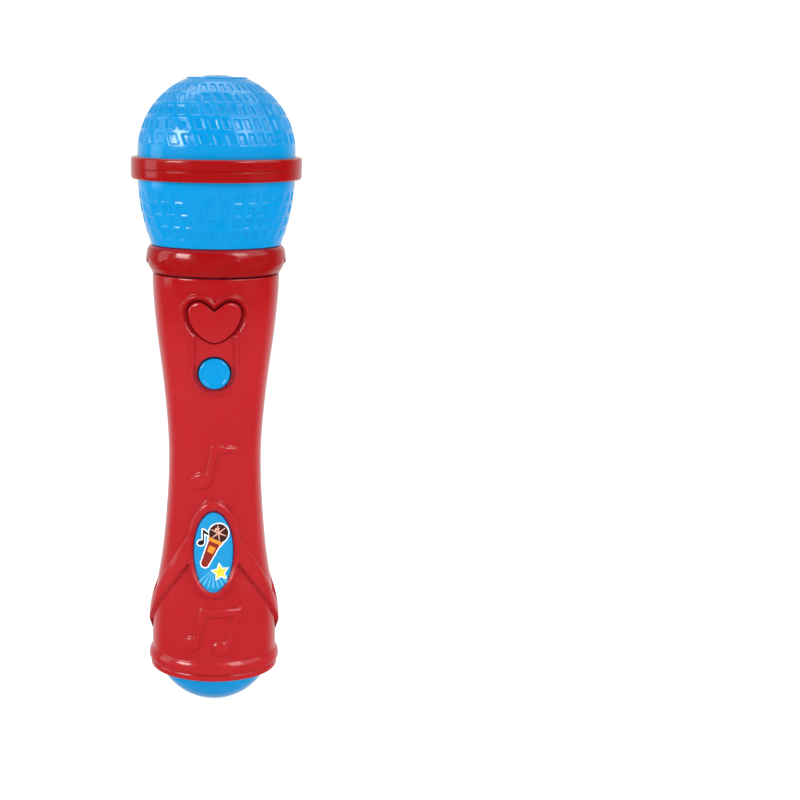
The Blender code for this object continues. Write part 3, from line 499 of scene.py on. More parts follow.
DOME_COLUMNS = 38
DOME_ROW = 10.9  # degrees of latitude
DOME_ROWS, DOME_FIRST = 5, 5.7  # how many, and the latitude they start at
CUP_COLUMNS = 30
CUP_ROW = 4.5
CUP_ROWS, CUP_FIRST = 4, 198.4  # how many, and the height they start at, downwards
PIT_DEPTH, CUP_PIT_DEPTH = 0.46, 0.368
PIT_WIDE, PIT_TALL = 0.34, 0.385  # half a pit's width and height, as shares of its cell
PIT_CORNER, PIT_SLOPE = 0.4, 0.6  # corner radius, and how far the sides run down
GRILLE_COLUMNS = 640  # vertices round the dome and the cup
ON_SKIN = 0.01  # a point this near the outer surface belongs to it


def pits(column, row, rows, across, up, depth, off_skin):
    """Relief of a lattice of rounded pits; across and up are the millimetres of one cell."""
    dx = (column - np.floor(column) - 0.5) * across
    dz = (row - np.floor(row) - 0.5) * up
    qx = np.abs(dx) - (PIT_WIDE * across - PIT_CORNER)
    qz = np.abs(dz) - (PIT_TALL * up - PIT_CORNER)
    d = np.hypot(np.maximum(qx, 0), np.maximum(qz, 0)) + np.minimum(np.maximum(qx, qz), 0) - PIT_CORNER
    inside = (row > 0) & (row < rows) & (np.abs(off_skin) < ON_SKIN)
    return np.where(inside, -depth * ease(0.1 - d / PIT_SLOPE), 0.0)


def dome_relief(phi, r, z):
    """The dome's columns widen and narrow three times in a turn and lean as they rise."""
    latitude = np.degrees(np.arctan2(z - DOME_CENTRE, r))
    row = (latitude - DOME_FIRST) / DOME_ROW
    swell, start = 0.477, math.radians(3)
    lean = 0.43 * (0.5 + 0.5 * np.cos(phi + math.radians(40)))
    column = DOME_COLUMNS * phi / TURN - swell * np.cos(3 * (phi - start)) + lean * row + 0.53
    density = DOME_COLUMNS / TURN + 3 * swell * np.sin(3 * (phi - start))
    return pits(column, row, DOME_ROWS, r / density, DOME_RADIUS * math.radians(DOME_ROW), PIT_DEPTH,
                np.hypot(r, z - DOME_CENTRE) - DOME_RADIUS)


def head_dome():
    start = math.asin((DOME_FOOT - DOME_CENTRE) / DOME_RADIUS)
    end = math.acos(CROWN_RADIUS / DOME_RADIUS)
    outside = ball_rows(DOME_RADIUS, DOME_CENTRE, np.linspace(start, end, 150))
    crown = [(11.35, 239.05), (11.25, 239.2), (11.0, 239.3), (10.6, 239.33), (8.0, 239.36), (6.2, 239.4),
             (5.6, 239.46), (4.9, 239.66), (4.1, 239.87), (3.0, 239.97), (1.8, TOTAL_HEIGHT),
             (0.6, TOTAL_HEIGHT)]
    inner, inner_centre = DOME_RADIUS - HEAD_WALL, DOME_CENTRE - 0.6
    lining = ball_rows(inner, inner_centre, np.linspace(math.radians(88.5), start, 12))
    section = [(inner * 0.02, inner_centre + inner)] + lining[1:] + outside + crown
    dome = turned("head_dome_grille", section, GRILLE_COLUMNS, BLUE, dome_relief, 60, poles=True)
    holes = []
    for count, radius, size in CROWN_HOLES:
        for i in range(count):
            a = TURN * (i + 0.5) / count
            holes.append(crown_hole(radius * math.cos(a), radius * math.sin(a), size))
    cut(dome, holes, 50)
    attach(dome, "root")
    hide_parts("head_dome")


def cup_relief(phi, r, z):
    """Columns of the cup lean towards the middle of the face as they go down."""
    row = (CUP_FIRST - z) / CUP_ROW
    lean = -0.32 * np.sin(2 * (phi - math.radians(12)))
    column = CUP_COLUMNS * phi / TURN - lean * row
    return pits(column, row, CUP_ROWS, r * TURN / CUP_COLUMNS, CUP_ROW, CUP_PIT_DEPTH,
                r - curve(z, CUP_Z, CUP_R))


def head_cup():
    heights = np.linspace(178.0, 205.9, 100)
    outside = [(float(curve(z, CUP_Z, CUP_R)), z) for z in heights]
    inside = [(float(curve(z, CUP_Z, CUP_R)) - HEAD_WALL, z) for z in np.linspace(205.9, 180.5, 8)]
    neck = [(17.6, 179.4), (17.6, 162.0), (21.2, 162.0), (21.2, 163.8), (19.6, 163.8), (19.6, 177.9),
            (23.6, 177.8)]
    cup = turned("head_cup_grille", outside + inside + neck, GRILLE_COLUMNS, BLUE, cup_relief, 60)
    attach(cup, "root")
    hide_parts("head_cup")


CORNER_STEPS = 6


def rounded(points, radii):
    """A closed (r, z) section whose corners are rounded by arcs of the given radii."""
    out = []
    for i, (point, radius) in enumerate(zip(points, radii)):
        if not radius:
            out.append(point)
            continue
        p, a, b = Vector(point), Vector(points[i - 1]), Vector(points[(i + 1) % len(points)])
        u, v = (a - p).normalized(), (b - p).normalized()
        half = u.angle(v) / 2
        reach = min(radius / math.tan(half), (a - p).length * 0.49, (b - p).length * 0.49)
        centre = p + (u + v).normalized() * (reach / math.cos(half))
        first = p + u * reach - centre
        sweep = first.angle_signed(p + v * reach - centre)
        for k in range(CORNER_STEPS + 1):
            arm = first.copy()
            arm.rotate(Matrix.Rotation(-sweep * k / CORNER_STEPS, 2))
            out.append(tuple(centre + arm))
    return out


def equator_ring():
    corners = [(29.7, 202.05), (31.75, 202.05), (31.9, 205.62), (31.62, 205.82), (31.62, 206.0),
               (31.9, 206.2), (31.85, 210.3), (29.7, 210.3), (29.7, 206.45), (27.9, 206.45), (27.9, 205.95),
               (29.7, 205.95)]
    radii = [0, 1.3, 0.25, 0.1, 0.1, 0.25, 1.4, 0.3, 0, 0, 0, 0]
    ring = turned("equator_ring_band", rounded(corners, radii), 300, SHADED_RED, None, 40)
    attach(ring, "root")
    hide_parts("equator_ring")


COLLAR_Z = (167.2, 168.3, 168.8, 170.3, 172.0, 173.3, 174.8, 176.3, 177.2, 177.7)
COLLAR_R = (24.1, 24.8, 25.15, 25.75, 26.05, 26.05, 25.9, 25.55, 25.0, 24.2)
HEM_Z, HEM_WAVE, HEM_SCALLOPS = 171.9, 1.35, 12


def collar_relief(phi, r, z):
    """The upper part stands proud, like icing with a scalloped hem."""
    hem = HEM_Z - HEM_WAVE * np.cos(HEM_SCALLOPS * (phi - math.radians(2.5)))
    on_skin = r > 23.9
    above = ease((z - hem) / 0.45 + 0.5)
    lip = np.exp(-((z - hem - 0.35) / 0.5) ** 2)
    return np.where(on_skin, -0.42 * (1 - above) + 0.07 * lip, 0.0)


def neck_collar():
    low, high = COLLAR_Z[0], COLLAR_Z[-1]
    outside = [(float(curve(z, COLLAR_Z, COLLAR_R)) + 0.15 * math.sin(math.pi * (z - low) / (high - low)), z)
               for z in np.linspace(low, high, 46)]
    inside = [(23.4, 177.75), (19.95, 177.5), (19.95, 167.5), (22.6, 167.3)]
    collar = turned("neck_collar_band", outside + inside, 460, SHADED_RED, collar_relief, 60)
    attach(collar, "root")
    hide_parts("neck_collar")


# ---- handle

STRAP_START = 20  # degrees from the front
STRAP_TOP = ((20, 30, 42, 55, 72, 90), (73.4, 68.7, 62.6, 55.8, 45.4, 37.4))  # angles and heights
STRAP_LOW = ((20, 29, 41, 53, 72, 90), (61.8, 57.4, 51.4, 45.7, 37.2, 30.6))
STRAP_LIFT, STRAP_CROWN = 1.4, 0.25  # at the edges, and what the middle adds


def strap_relief(phi, z):
    """A broad ribbon from the badge down and round to each side."""
    angle = np.degrees(np.abs(phi))
    top, low = np.interp(angle, *STRAP_TOP), np.interp(angle, *STRAP_LOW)
    middle, half = (top + low) / 2, (top - low) / 2
    edge = np.minimum(rise(z - top, 1.0), rise(low - z, 0.3))
    crown = np.clip(1 - ((z - middle) / half) ** 2, 0, 1)
    return np.where(angle > STRAP_START, edge * (STRAP_LIFT + STRAP_CROWN * crown), 0.0)


FRAME_OUTER, FRAME_INNER = (64.7, 9.7, 18.7), (63.9, 7.95, 15.75)  # centre z, half width, half height
FRAME_LIFT, SEAT_LIFT = 2.1, 0.45


def outside_ellipse(x, z, centre_z, half_x, half_z):
    """Signed distance to an upright ellipse on the middle of the face."""
    z = z - centre_z
    k = np.hypot(x / half_x, z / half_z)
    g = np.hypot(x / half_x ** 2, z / half_z ** 2) + 1e-9
    return k * (k - 1) / g


def badge_frame_relief(x, z):
    """A rounded rim that stands over the label's flat, slightly raised seat."""
    outer, inner = outside_ellipse(x, z, *FRAME_OUTER), outside_ellipse(x, z, *FRAME_INNER)
    wall = FRAME_LIFT * np.minimum(rise(outer, 1.7), 0.55 + 0.45 * rise(-inner, 1.0))
    sunk = ease(-inner / 0.4 + 0.1)
    return wall * (1 - sunk) + SEAT_LIFT * sunk * (outer < 0)


SINGLE_NOTE = ((-3.4, 90.2), (-1.2, 89.6), (1.25, 100.9), (5.2, 101.1), (8.6, 101.5), (9.2, 102.6),
               (8.6, 103.4), (3.0, 103.9), (-0.9, 104.2))
PAIR_BEAM = ((-7.5, 29.0), (-5.2, 28.2), (-2.3, 38.7), (7.4, 38.9), (4.2, 27.6), (6.5, 26.8), (10.5, 39.4),
             (11.2, 42.2), (-4.7, 42.2))
NOTE_CORNER = 0.8  # rounds the corners of stems and beams
NOTE_LIFT = 0.95
NOTE_HEADS = ((-4.9, 90.2, 3.8, 3.1), (-8.1, 28.3, 3.1, 2.9), (3.1, 26.8, 3.1, 2.9))


def notes_relief(x, z):
    """The single note above the badge and the pair of notes below it."""
    shapes = [(ellipse(*head, 40, 14), 0.0) for head in NOTE_HEADS]
    shapes += [(grown(outline, -NOTE_CORNER), NOTE_CORNER) for outline in (SINGLE_NOTE, PAIR_BEAM)]
    d = np.full(x.shape, 99.0)
    for outline, corner in shapes:
        low, high = np.min(outline, 0) - 2, np.max(outline, 0) + 2
        near = (x > low[0]) & (x < high[0]) & (z > low[1]) & (z < high[1])
        d[near] = np.minimum(d[near], outline_distance(x[near], z[near], outline) - corner)
    return NOTE_LIFT * rise(d, 1.1)


BEAD_MIDDLE = 1.95  # from the heart button's edge to the bead's crest
BEAD_HALF, PANEL_BEAD_HALF = 0.75, 0.6
BEAD_LIFT, CHANNEL_SUNK = 1.15, 0.9
PANEL_HALF, PANEL_TOP = 7.9, 148.0  # half its width, and its hidden top
HEART_FOOT = 144.0  # bead and channel widen from here up


def button_frame_relief(x, z):
    """The bead round the heart and, below it, round the round button's panel."""
    lift = np.zeros(x.shape)
    near = (np.abs(x) < 15) & (z > 118) & (z < 166)
    px, pz = x[near], z[near]
    heart = outline_distance(px, pz, heart_outline())
    panel = segment_distance(px, pz, (0, ROUND_Z + 0.4), (0, PANEL_TOP)) - PANEL_HALF
    merged = np.minimum(heart - BEAD_MIDDLE, panel)
    upper = ease((pz - HEART_FOOT + 1) / 4)
    half = PANEL_BEAD_HALF + (BEAD_HALF - PANEL_BEAD_HALF) * upper
    bead = np.sqrt(np.clip(1 - (merged / half) ** 2, 0, 1))
    lift[near] = np.maximum((BEAD_LIFT + 0.1 * upper) * bead, 0.06 * (merged < 0))
    channel = 0.45 + 0.75 * ease((pz - HEART_FOOT) / 6)
    lift[near] -= CHANNEL_SUNK * ease((channel - heart) / 0.4)
    round_gap = np.hypot(px, pz - ROUND_Z) - ROUND_RADIUS - ROUND_GAP
    lift[near] -= 0.4 * ease((0.5 - round_gap) / 0.5)
    return lift


def front_relief(phi, z):
    x = handle_radius(z) * np.sin(phi)
    lift = strap_relief(phi, z) * (outside_ellipse(x, z, *FRAME_OUTER) > -0.6)
    raised = np.maximum(badge_frame_relief(x, z), notes_relief(x, z))
    return np.maximum(lift, raised) + button_frame_relief(x, z)


def rear_relief(phi, z):
    """The straps fade out beside the battery cover."""
    angle = np.degrees(np.abs(phi))
    return strap_relief(phi, z) * ease((angle - 34) / 3)


def handle_rows(step):
    """Outer section, foot to top: the double rim, the body and the rounded edge."""
    rim = [(21.4, 13.8), (23.6, 13.8), (24.2, 13.95), (24.45, 14.3), (24.5, 14.9), (24.5, 15.6),
           (24.35, 16.05), (24.15, 16.3), (24.2, 16.5), (24.7, 16.75), (25.05, 17.1), (25.2, 17.6),
           (25.2, 18.2), (25.13, 18.8), (25.0, 19.4), (24.82, 19.95), (24.6, 20.45), (24.35, 20.85),
           (24.1, 21.15), (23.98, 21.35)]
    top = [(23.75, 166.6), (23.6, 166.9), (23.2, 167.0)]
    return rim + wall_rows(np.arange(21.8, 166.3, step)) + top


HANDLE_LINING = [(21.8, 167.0), (21.8, 165.9), (20.0, 165.9), (20.0, 164.1), (21.6, 164.1), (21.6, 161.7),
                 (20.0, 161.7), (20.0, 160.6), (21.5, 160.6)]
FOOT_GROOVE = [(21.9, 21.0), (21.9, 19.4), (21.3, 19.4), (21.3, 17.8), (22.95, 17.8), (22.95, 15.4),
               (21.3, 15.4)]
LINING_Z = (150, 138, 126, 112, 97, 80, 68, 56, 44, 32)


def handle_half(node_name, relief, step, fine, coarse, rear):
    """Half of the handle's shell; step, fine and coarse are the spacing of its vertices."""
    edge, fine_end = math.pi / 2 - SEAM, math.radians(44)
    middle = np.arange(0, fine_end, fine / 21)
    side = np.arange(fine_end, edge, coarse / 22)
    half = np.concatenate([middle, side, [edge]])
    phi = np.concatenate([-half[:0:-1], half])
    outer = np.array(handle_rows(step))
    on_skin = (outer[:, 1] > 21.7) & (outer[:, 1] < 166.4)
    lift = np.zeros((len(outer), len(phi)))
    lift[on_skin] = relief(*np.meshgrid(phi, outer[on_skin, 1]))
    lining = HANDLE_LINING + wall_rows(LINING_Z, WALL) + FOOT_GROOVE
    shell = half_shell(node_name + "_shell", phi, outer, lift, lining, RED, rear)
    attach(shell, "root")
    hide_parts(node_name)
    return shell


def handle_front():
    shell = handle_half("handle_front", front_relief, step=0.36, fine=0.34, coarse=0.5, rear=False)
    round_hole = circle(0, ROUND_Z, ROUND_RADIUS + ROUND_GAP, 72)
    cut(shell, [prism(hole, -32, -12) for hole in (heart_outline(HEART_GAP), round_hole)], 55)
    seam_lip("handle_front_lip_left", -1)
    seam_lip("handle_front_lip_right", 1)


COVER_X = 12.3  # half the width of its opening
COVER_Z = (33.0, 96.0)
COVER_SCREW_Z = 91.5
CASE_SCREWS = ((-14.6, 142), (14.6, 142), (0, 104), (-13.5, 25.5), (13.5, 25.5))
WELL_OUTER, WELL_INNER = 3.4, 2.75
WELL_SUNK = 0.6  # how far the well's mouth stays below the rear surface


def handle_rear():
    shell = handle_half("handle_rear", rear_relief, step=0.45, fine=0.42, coarse=0.5, rear=True)
    cutters = [prism(circle(x, z, WELL_INNER, 40), 4.3, 40) for x, z in CASE_SCREWS]
    cutters.append(prism(rounded_box(-COVER_X, COVER_X, *COVER_Z, 2.5), 8, 40))
    cut(shell, cutters, 55)
    for i, (x, z) in enumerate(CASE_SCREWS):
        screw_well("handle_rear_well_%d" % (i + 1), x, z)


def seam_lip(name, side):
    """The lip behind the parting line that closes the gap between the halves."""
    skin = [(24.0, 14.3), (24.1, 16.4), (24.8, 17.6), (24.8, 19.0), (24.0, 20.8)]
    skin = np.array(skin + wall_rows(np.arange(22.0, 166.3, 2.0)))[:, None, :]
    depth = np.array((0.5, 0.5, 1.5, 1.5))
    phi = side * np.radians((89.0, 91.0, 91.0, 89.0))
    verts = around(skin[:, :, 0] - depth, skin[:, :, 1], phi).reshape(-1, 3)
    rows, columns = len(skin), len(phi)
    faces = lattice_faces(rows, columns, False, True)
    faces += [list(range(columns)), list(range((rows - 1) * columns, rows * columns))]
    lip = make_object(name, verts, faces, RED, 40)
    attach(lip, "root")
    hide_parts("handle_front")


def screw_well(name, x, z):
    """The tube a case screw sits in, from the boss to just under the rear surface."""
    mouth = float(handle_radius(z))
    section = [(1.35, 3.6), (1.35, 4.1), (WELL_INNER, 4.2), (WELL_INNER, mouth), (WELL_OUTER, mouth),
               (WELL_OUTER, 3.6)]
    well = turned(name, section, 40, RED, None, 40)
    well.data.transform(turn_to_y(x, z))
    for v in well.data.vertices:
        if v.co.y > (mouth - 0.1) * MM:
            radius = float(handle_radius(v.co.z / MM)) - WELL_SUNK
            v.co.y = math.sqrt(radius ** 2 - (v.co.x / MM) ** 2) * MM
    finish_mesh(well, 40)
    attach(well, "root")
    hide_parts("handle_rear")


def battery_cover():
    """A panel of the handle's own surface with grip ribs, an arrow and a sunk screw seat."""
    phi = np.arange(-0.80, 0.8001, 0.016)
    outer = np.array(wall_rows(np.arange(31.0, 98.01, 0.4)))
    lift = cover_relief(*np.meshgrid(phi, outer[:, 1]))
    inner = wall_rows(np.linspace(98, 31, 14), 1.9)
    cover = half_shell("battery_cover_panel", phi, outer, lift, inner, RED, rear=True)
    keep = prism(rounded_box(-COVER_X + GAP, COVER_X - GAP, COVER_Z[0] + GAP, COVER_Z[1] - GAP, 2.3), 8, 40)
    cut(cover, [keep], 55, "INTERSECT")
    cut(cover, [prism(circle(0, COVER_SCREW_Z, 1.6, 32), 5, 40)], 55)
    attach(cover, "battery_cover")
    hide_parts("battery_cover")


RIBS, RIB_PITCH, RIB_HALF, RIB_LOW = 6, 2.6, 6.2, 41.0
ARROW = ((-4.6, 62.2), (0, 58.2), (4.6, 62.2), (3.4, 63.4), (0, 60.5), (-3.4, 63.4))


def cover_relief(phi, z):
    """An eased edge, six grip ribs, an arrow and the screw's sunk seat."""
    x = handle_radius(z) * np.sin(phi)
    middle, half = (COVER_Z[0] + COVER_Z[1]) / 2, (COVER_Z[1] - COVER_Z[0]) / 2
    edge = np.maximum(np.abs(x) - (COVER_X - GAP), np.abs(z - middle) - (half - GAP))
    lift = -0.25 * ease((edge + 0.6) / 0.6)
    for i in range(RIBS):
        height = RIB_LOW + RIB_PITCH * i
        rib = segment_distance(x, z, (-RIB_HALF, height), (RIB_HALF, height))
        lift += 0.55 * rise(rib - 0.75, 0.7)
    lift += 0.45 * rise(outline_distance(x, z, ARROW), 0.5)
    seat = np.hypot(x, z - COVER_SCREW_Z) - 3.1
    return lift - 1.2 * ease(-seat / 0.5 + 0.5)


# ---- foot, buttons, badge and screws

def foot_dome():
    """A round cap with a flange that snaps into the rim's groove."""
    radius, wall, tube = 23.0, 1.8, 21.0
    inner = radius - wall
    down = math.pi / 2
    outside = ball_rows(radius, radius, np.linspace(0.01, math.asin(tube / radius), 60) - down)
    lining = ball_rows(inner, radius, np.linspace(math.asin((tube - wall) / inner), 0.02, 14) - down)
    flange = [(tube, 15.8), (22.6, 15.8), (22.6, 17.4), (tube - wall, 17.4)]
    foot = turned("foot_dome_cap", outside + flange + lining, 220, BLUE, None, 40, poles=True)
    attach(foot, "root")
    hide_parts("foot_dome")


def front_y(x, z, lift):
    """Y of a point at (x, z) that is lifted off the handle's front."""
    return -np.sqrt((handle_radius(z) + lift) ** 2 - x ** 2)


HEART_CENTRE = np.array((0, 151.8))
HEART_BEVEL = 0.17  # share of the way from the edge to the centre
HEART_FLANGE = 0.9  # how far the flange reaches past the cap


def heart_lift(scale):
    """How far the pillow face stands out; scale is 0 at the centre and 1 at the edge."""
    near = max(0.0, 1 - (1 - scale) / HEART_BEVEL)
    return 1.1 + 0.25 * (1 - scale ** 2) - 1.15 * (1 - math.sqrt(1 - near ** 2))


def heart_button():
    """Pillow-faced heart with a bevelled edge and a flange behind the wall."""
    outline = heart_outline()

    def shrunk(scale):
        return HEART_CENTRE + (outline - HEART_CENTRE) * scale

    front, back = FLANGE_Y
    flange = heart_outline(HEART_FLANGE)
    rings = [(shrunk(0.4), back), (flange, back), (flange, front), (outline, front)]
    scales = [1 - HEART_BEVEL * (1 - math.cos(a)) for a in np.linspace(0, math.pi / 2, 11)]
    rings += [(shrunk(scale), front_y(*shrunk(scale).T, heart_lift(scale)))
              for scale in scales + [0.76, 0.66, 0.55, 0.4, 0.25, 0.1]]
    verts = [np.insert(points, 1, y, axis=1) for points, y in rings]
    ends = [(0, y, HEART_CENTRE[1]) for y in (back, front_y(*HEART_CENTRE, heart_lift(0.0)))]
    faces = lattice_faces(len(rings), len(outline), False, True) + fans(len(rings), len(outline))
    button = make_object("heart_button_cap", np.concatenate(verts + [ends]), faces, RED, 50)
    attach(button, "heart_button")
    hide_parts("heart_button")


def turned_along_y(name, section, cx, cz, columns, material, relief, sharp):
    """A section of (radius, y) points turned about a line along Y through (cx, cz)."""
    obj = turned(name, section, columns, material, relief, sharp, poles=True)
    obj.data.transform(turn_to_y(cx, cz))
    finish_mesh(obj, sharp)
    return obj


def round_button():
    """Round cap with a rolled rim and a small raised play mark."""
    face = -(float(handle_radius(ROUND_Z)) + 1.3)
    r = ROUND_RADIUS
    section = [(0.05, -16.0), (7.0, -16.0), (7.0, -16.7), (r, -16.7), (r, face + 1.2)]
    roll = 0.85
    section += [(r - roll + roll * math.cos(a), face + roll - roll * math.sin(a))
                for a in np.linspace(0.0, math.pi / 2, 11)]
    section += [(r - 1.0, face + 0.06), (r - 1.15, face + 0.2), (r - 1.3, face + 0.24)]
    dish = r - 1.4
    section += [(radius, face + 0.25 - 0.35 * (1 - (radius / dish) ** 2))
                for radius in np.arange(r - 1.5, 0.05, -0.14)]
    mark = ((-1.5, 2.2), (2.4, 0.0), (-1.5, -2.2))

    def relief(phi, radius, y):
        x, z = radius * np.sin(phi), radius * np.cos(phi)
        return np.where(radius < dish, 0.14 * rise(outline_distance(x, z, mark) - 0.3, 0.45), 0.0)

    button = turned_along_y("round_button_cap", section, 0, ROUND_Z, 120, BLUE, relief, 45)
    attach(button, "round_button")
    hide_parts("round_button")


def wrapped_plate(name, outline, low, high, material):
    """A thin (x, z) plate that follows the handle's front, between two lifts."""
    bm = bmesh.new()
    bm.faces.new([bm.verts.new((x, 0, z)) for x, z in outline])
    lows, highs = np.min(outline, 0), np.max(outline, 0)
    for axis, step, normal in ((0, 0.8, (1, 0, 0)), (1, 2.4, (0, 0, 1))):
        for value in np.arange(lows[axis] + step, highs[axis], step):
            whole = bm.verts[:] + bm.edges[:] + bm.faces[:]
            bmesh.ops.bisect_plane(bm, geom=whole, plane_co=Vector(normal) * value, plane_no=normal)
    raised = set(extruded(bm))
    for v in bm.verts:
        y = float(front_y(v.co.x, v.co.z, high if v in raised else low))
        v.co = Vector((v.co.x, y, v.co.z)) * MM
    bmesh.ops.recalc_face_normals(bm, faces=bm.faces[:])
    mesh = mesh_from(name, bm)
    smooth(mesh, 40)
    mesh.materials.append(material)
    return place(name, mesh)


def print_ink(name, colour, speck):
    """Printed ink under clear vinyl: a faint drift in the colour and a glossy coat."""
    material, _, shader = surface(name, [c * speck for c in colour], colour, (420, 3), (300, 4),
                                  (0.2, 0.34), ((220, 2), 0.012))
    fill(shader, Coat_Weight=0.5, Coat_Roughness=0.08)
    return material


INKS = (("sky", (0.005, 0.285, 0.60), 0.9), ("pale_blue", (0.10, 0.48, 0.76), 0.9),
        ("navy", (0.012, 0.03, 0.14), 0.8), ("white", (0.82, 0.84, 0.86), 0.96),
        ("brown", (0.055, 0.018, 0.013), 0.7), ("maroon", (0.28, 0.02, 0.012), 0.8),
        ("orange", (0.85, 0.27, 0.02), 0.9), ("yellow", (0.88, 0.66, 0.04), 0.9),
        ("peach", (0.72, 0.36, 0.28), 0.9), ("black", (0.012, 0.01, 0.02), 0.7))
RAYS, RAY_LENGTH = 7, 7.44
LABEL_FOOT, ART_FOOT = 0.50, 0.58  # how deep the label's and its art's layers start
LABEL_TOP = 0.66
LABEL_Z = 63.6


def badge():
    """Oval label with generic art: a little microphone, a note and a star on sky blue."""
    ink = {name: print_ink("ink_" + name, colour, speck) for name, colour, speck in INKS}
    layers = [("badge_label", ellipse(0, LABEL_Z, 7.62, 15.4, 96), 0.0, "navy"),
              ("badge_field", ellipse(0, LABEL_Z, 7.25, 15.0, 96), 0.06, "sky")]
    for i in range(RAYS):
        middle = -90 + (i - RAYS // 2) * 15
        tip_z = LABEL_Z - 6.0
        ray = np.concatenate([[(0, tip_z)], arc(0, tip_z, RAY_LENGTH, middle - 3, middle + 3, 1)])
        layers.append(("badge_ray_%d" % (i + 1), ray, 0.10, "pale_blue"))
    band = ((-2.9, -2.6), (2.9, -2.6), (2.5, -3.9), (-2.5, -3.9))
    grip = ((-2.2, -3.9), (2.2, -3.9), (1.35, -13.0), (0.6, -13.8), (-0.6, -13.8), (-1.35, -13.0))
    switch = ((-1.3, -5.4), (1.3, -5.4), (1.15, -8.0), (-1.15, -8.0))
    note = ((0.35, 0.0), (0.9, 0.2), (0.9, 4.0), (2.6, 3.1), (2.5, 4.1), (0.9, 5.3), (0.35, 5.3))

    def on_mic(points, turn=0.0, up=0.0):
        return moved(points, 1.9, LABEL_Z + 7.2 + up, -24 + turn)

    def on_note(points):
        return moved(points, -4.4, LABEL_Z + 3.4, 0, 0.95)

    shapes = [("mic_ball", on_mic(circle(0, 0, 3.6)), 0.19, "brown"),
              ("mic_grip", on_mic(grip), 0.19, "maroon"),
              ("mic_band", on_mic(band), 0.22, "orange"),
              ("note_stem", on_note(note), 0.19, "black"),
              ("note_head", on_note(ellipse(-0.35, 0.1, 1.3, 0.95, 24, 20)), 0.19, "black"),
              ("star", moved(star(), 2.6, LABEL_Z - 7.4, 8, 2.9), 0.19, "yellow")]
    layers += [("badge_edge_" + name, grown(outline, 0.5), 0.14, "white") for name, outline, _, _ in shapes]
    layers += [("badge_" + name, *rest) for name, *rest in shapes]
    layers += [("badge_mic_switch", on_mic(switch), 0.24, "orange"),
               ("badge_mic_shine", on_mic(ellipse(-1.2, 1.3, 1.0, 0.55, 20, 40)), 0.24, "peach")]
    for i in range(3):
        wire = on_mic(ellipse(0, 0, 3.3, 0.28, 30), 60 * i, 0.2)
        layers.append(("badge_mic_mesh_%d" % (i + 1), wire, 0.215 + 0.004 * i, "peach"))
    for name, outline, lift, tone in layers:
        foot = ART_FOOT if lift else LABEL_FOOT
        piece = wrapped_plate(name, outline, foot, LABEL_TOP + lift, ink[tone])
        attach(piece, "root")
        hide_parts("badge")


CROSS_DEPTH = 0.8
CROSS_ARM, CROSS_WIDTH = 0.62, 0.3  # share of the head's radius, and half the slot's width


def screw(node_name, body, x, z, seat, top, tip, head, shank):
    """A pan-head screw along Y: domed head with a cross recess, a thread and a point."""
    section = [(0.05, tip)]
    pitch = 0.7
    for y in np.arange(tip + 1.2, seat - 0.2, pitch):
        section += [(shank * 0.78, y), (shank, y + pitch * 0.45), (shank * 0.78, y + pitch * 0.6)]
    section += [(shank * 0.9, seat), (head, seat), (head, seat + (top - seat) * 0.45)]
    section += [(radius, seat + (top - seat) * (0.5 + 0.5 * math.sqrt(max(0.0, 1 - (radius / head) ** 2))))
                for radius in np.arange(head * 0.995, 0.05, -head * 0.05)]

    def relief(phi, radius, y):
        px, pz = np.abs(radius * np.sin(phi)), np.abs(radius * np.cos(phi))
        reach = head * CROSS_ARM
        arm = np.minimum(np.maximum(px - CROSS_WIDTH, pz - reach), np.maximum(pz - CROSS_WIDTH, px - reach))
        return np.where(y > seat + 0.1, -CROSS_DEPTH * ease(-arm / 0.18 + 0.5), 0.0)

    piece = turned_along_y(node_name + "_pan_head", section, x, z, 72, STEEL, relief, 40)
    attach(piece, body)
    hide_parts(node_name)


def screws():
    for i, (x, z) in enumerate(CASE_SCREWS):
        screw("case_screw_%d" % (i + 1), "root", x, z, 4.3, 6.0, -8.5, 2.3, 1.1)
    seat = float(handle_radius(COVER_SCREW_Z)) - 1.1
    screw("cover_screw", "cover_screw", 0, COVER_SCREW_Z, seat, seat + 1.0, 7.0, 2.6, 1.05)


# ---- pieces inside, as CAD made them

def solder_mask():
    """Green board: copper tracks show through the lacquer as a lighter, raised maze."""
    material, tree, shader = new_material("solder_mask")
    bricks = node(tree, "ShaderNodeTexBrick", Scale=260.0, Mortar_Size=0.09)
    tree.links.new(coordinate(tree, "Object"), bricks.inputs["Vector"])
    tone = two_tone(tree, bricks.outputs["Fac"], (0.012, 0.13, 0.035), (0.03, 0.24, 0.06))
    dress(tree, shader, tone, spread(tree, noise(tree, 200, 3), 0.25, 0.4),
          (bricks.outputs["Fac"], 0.03), (noise(tree, 1500, 2), 0.004))
    return material


def cone_paper():
    """Black pressed paper with visible fibres."""
    material, tree, shader = new_material("cone_paper")
    fibres = spread(tree, noise(tree, 900, 6, 0.7), 0, 1)
    tone = two_tone(tree, fibres, (0.02, 0.02, 0.022), (0.07, 0.068, 0.065))
    fill(shader, Roughness=0.85)
    dress(tree, shader, tone, None, (noise(tree, 1200, 6, 0.7), 0.06))
    return material


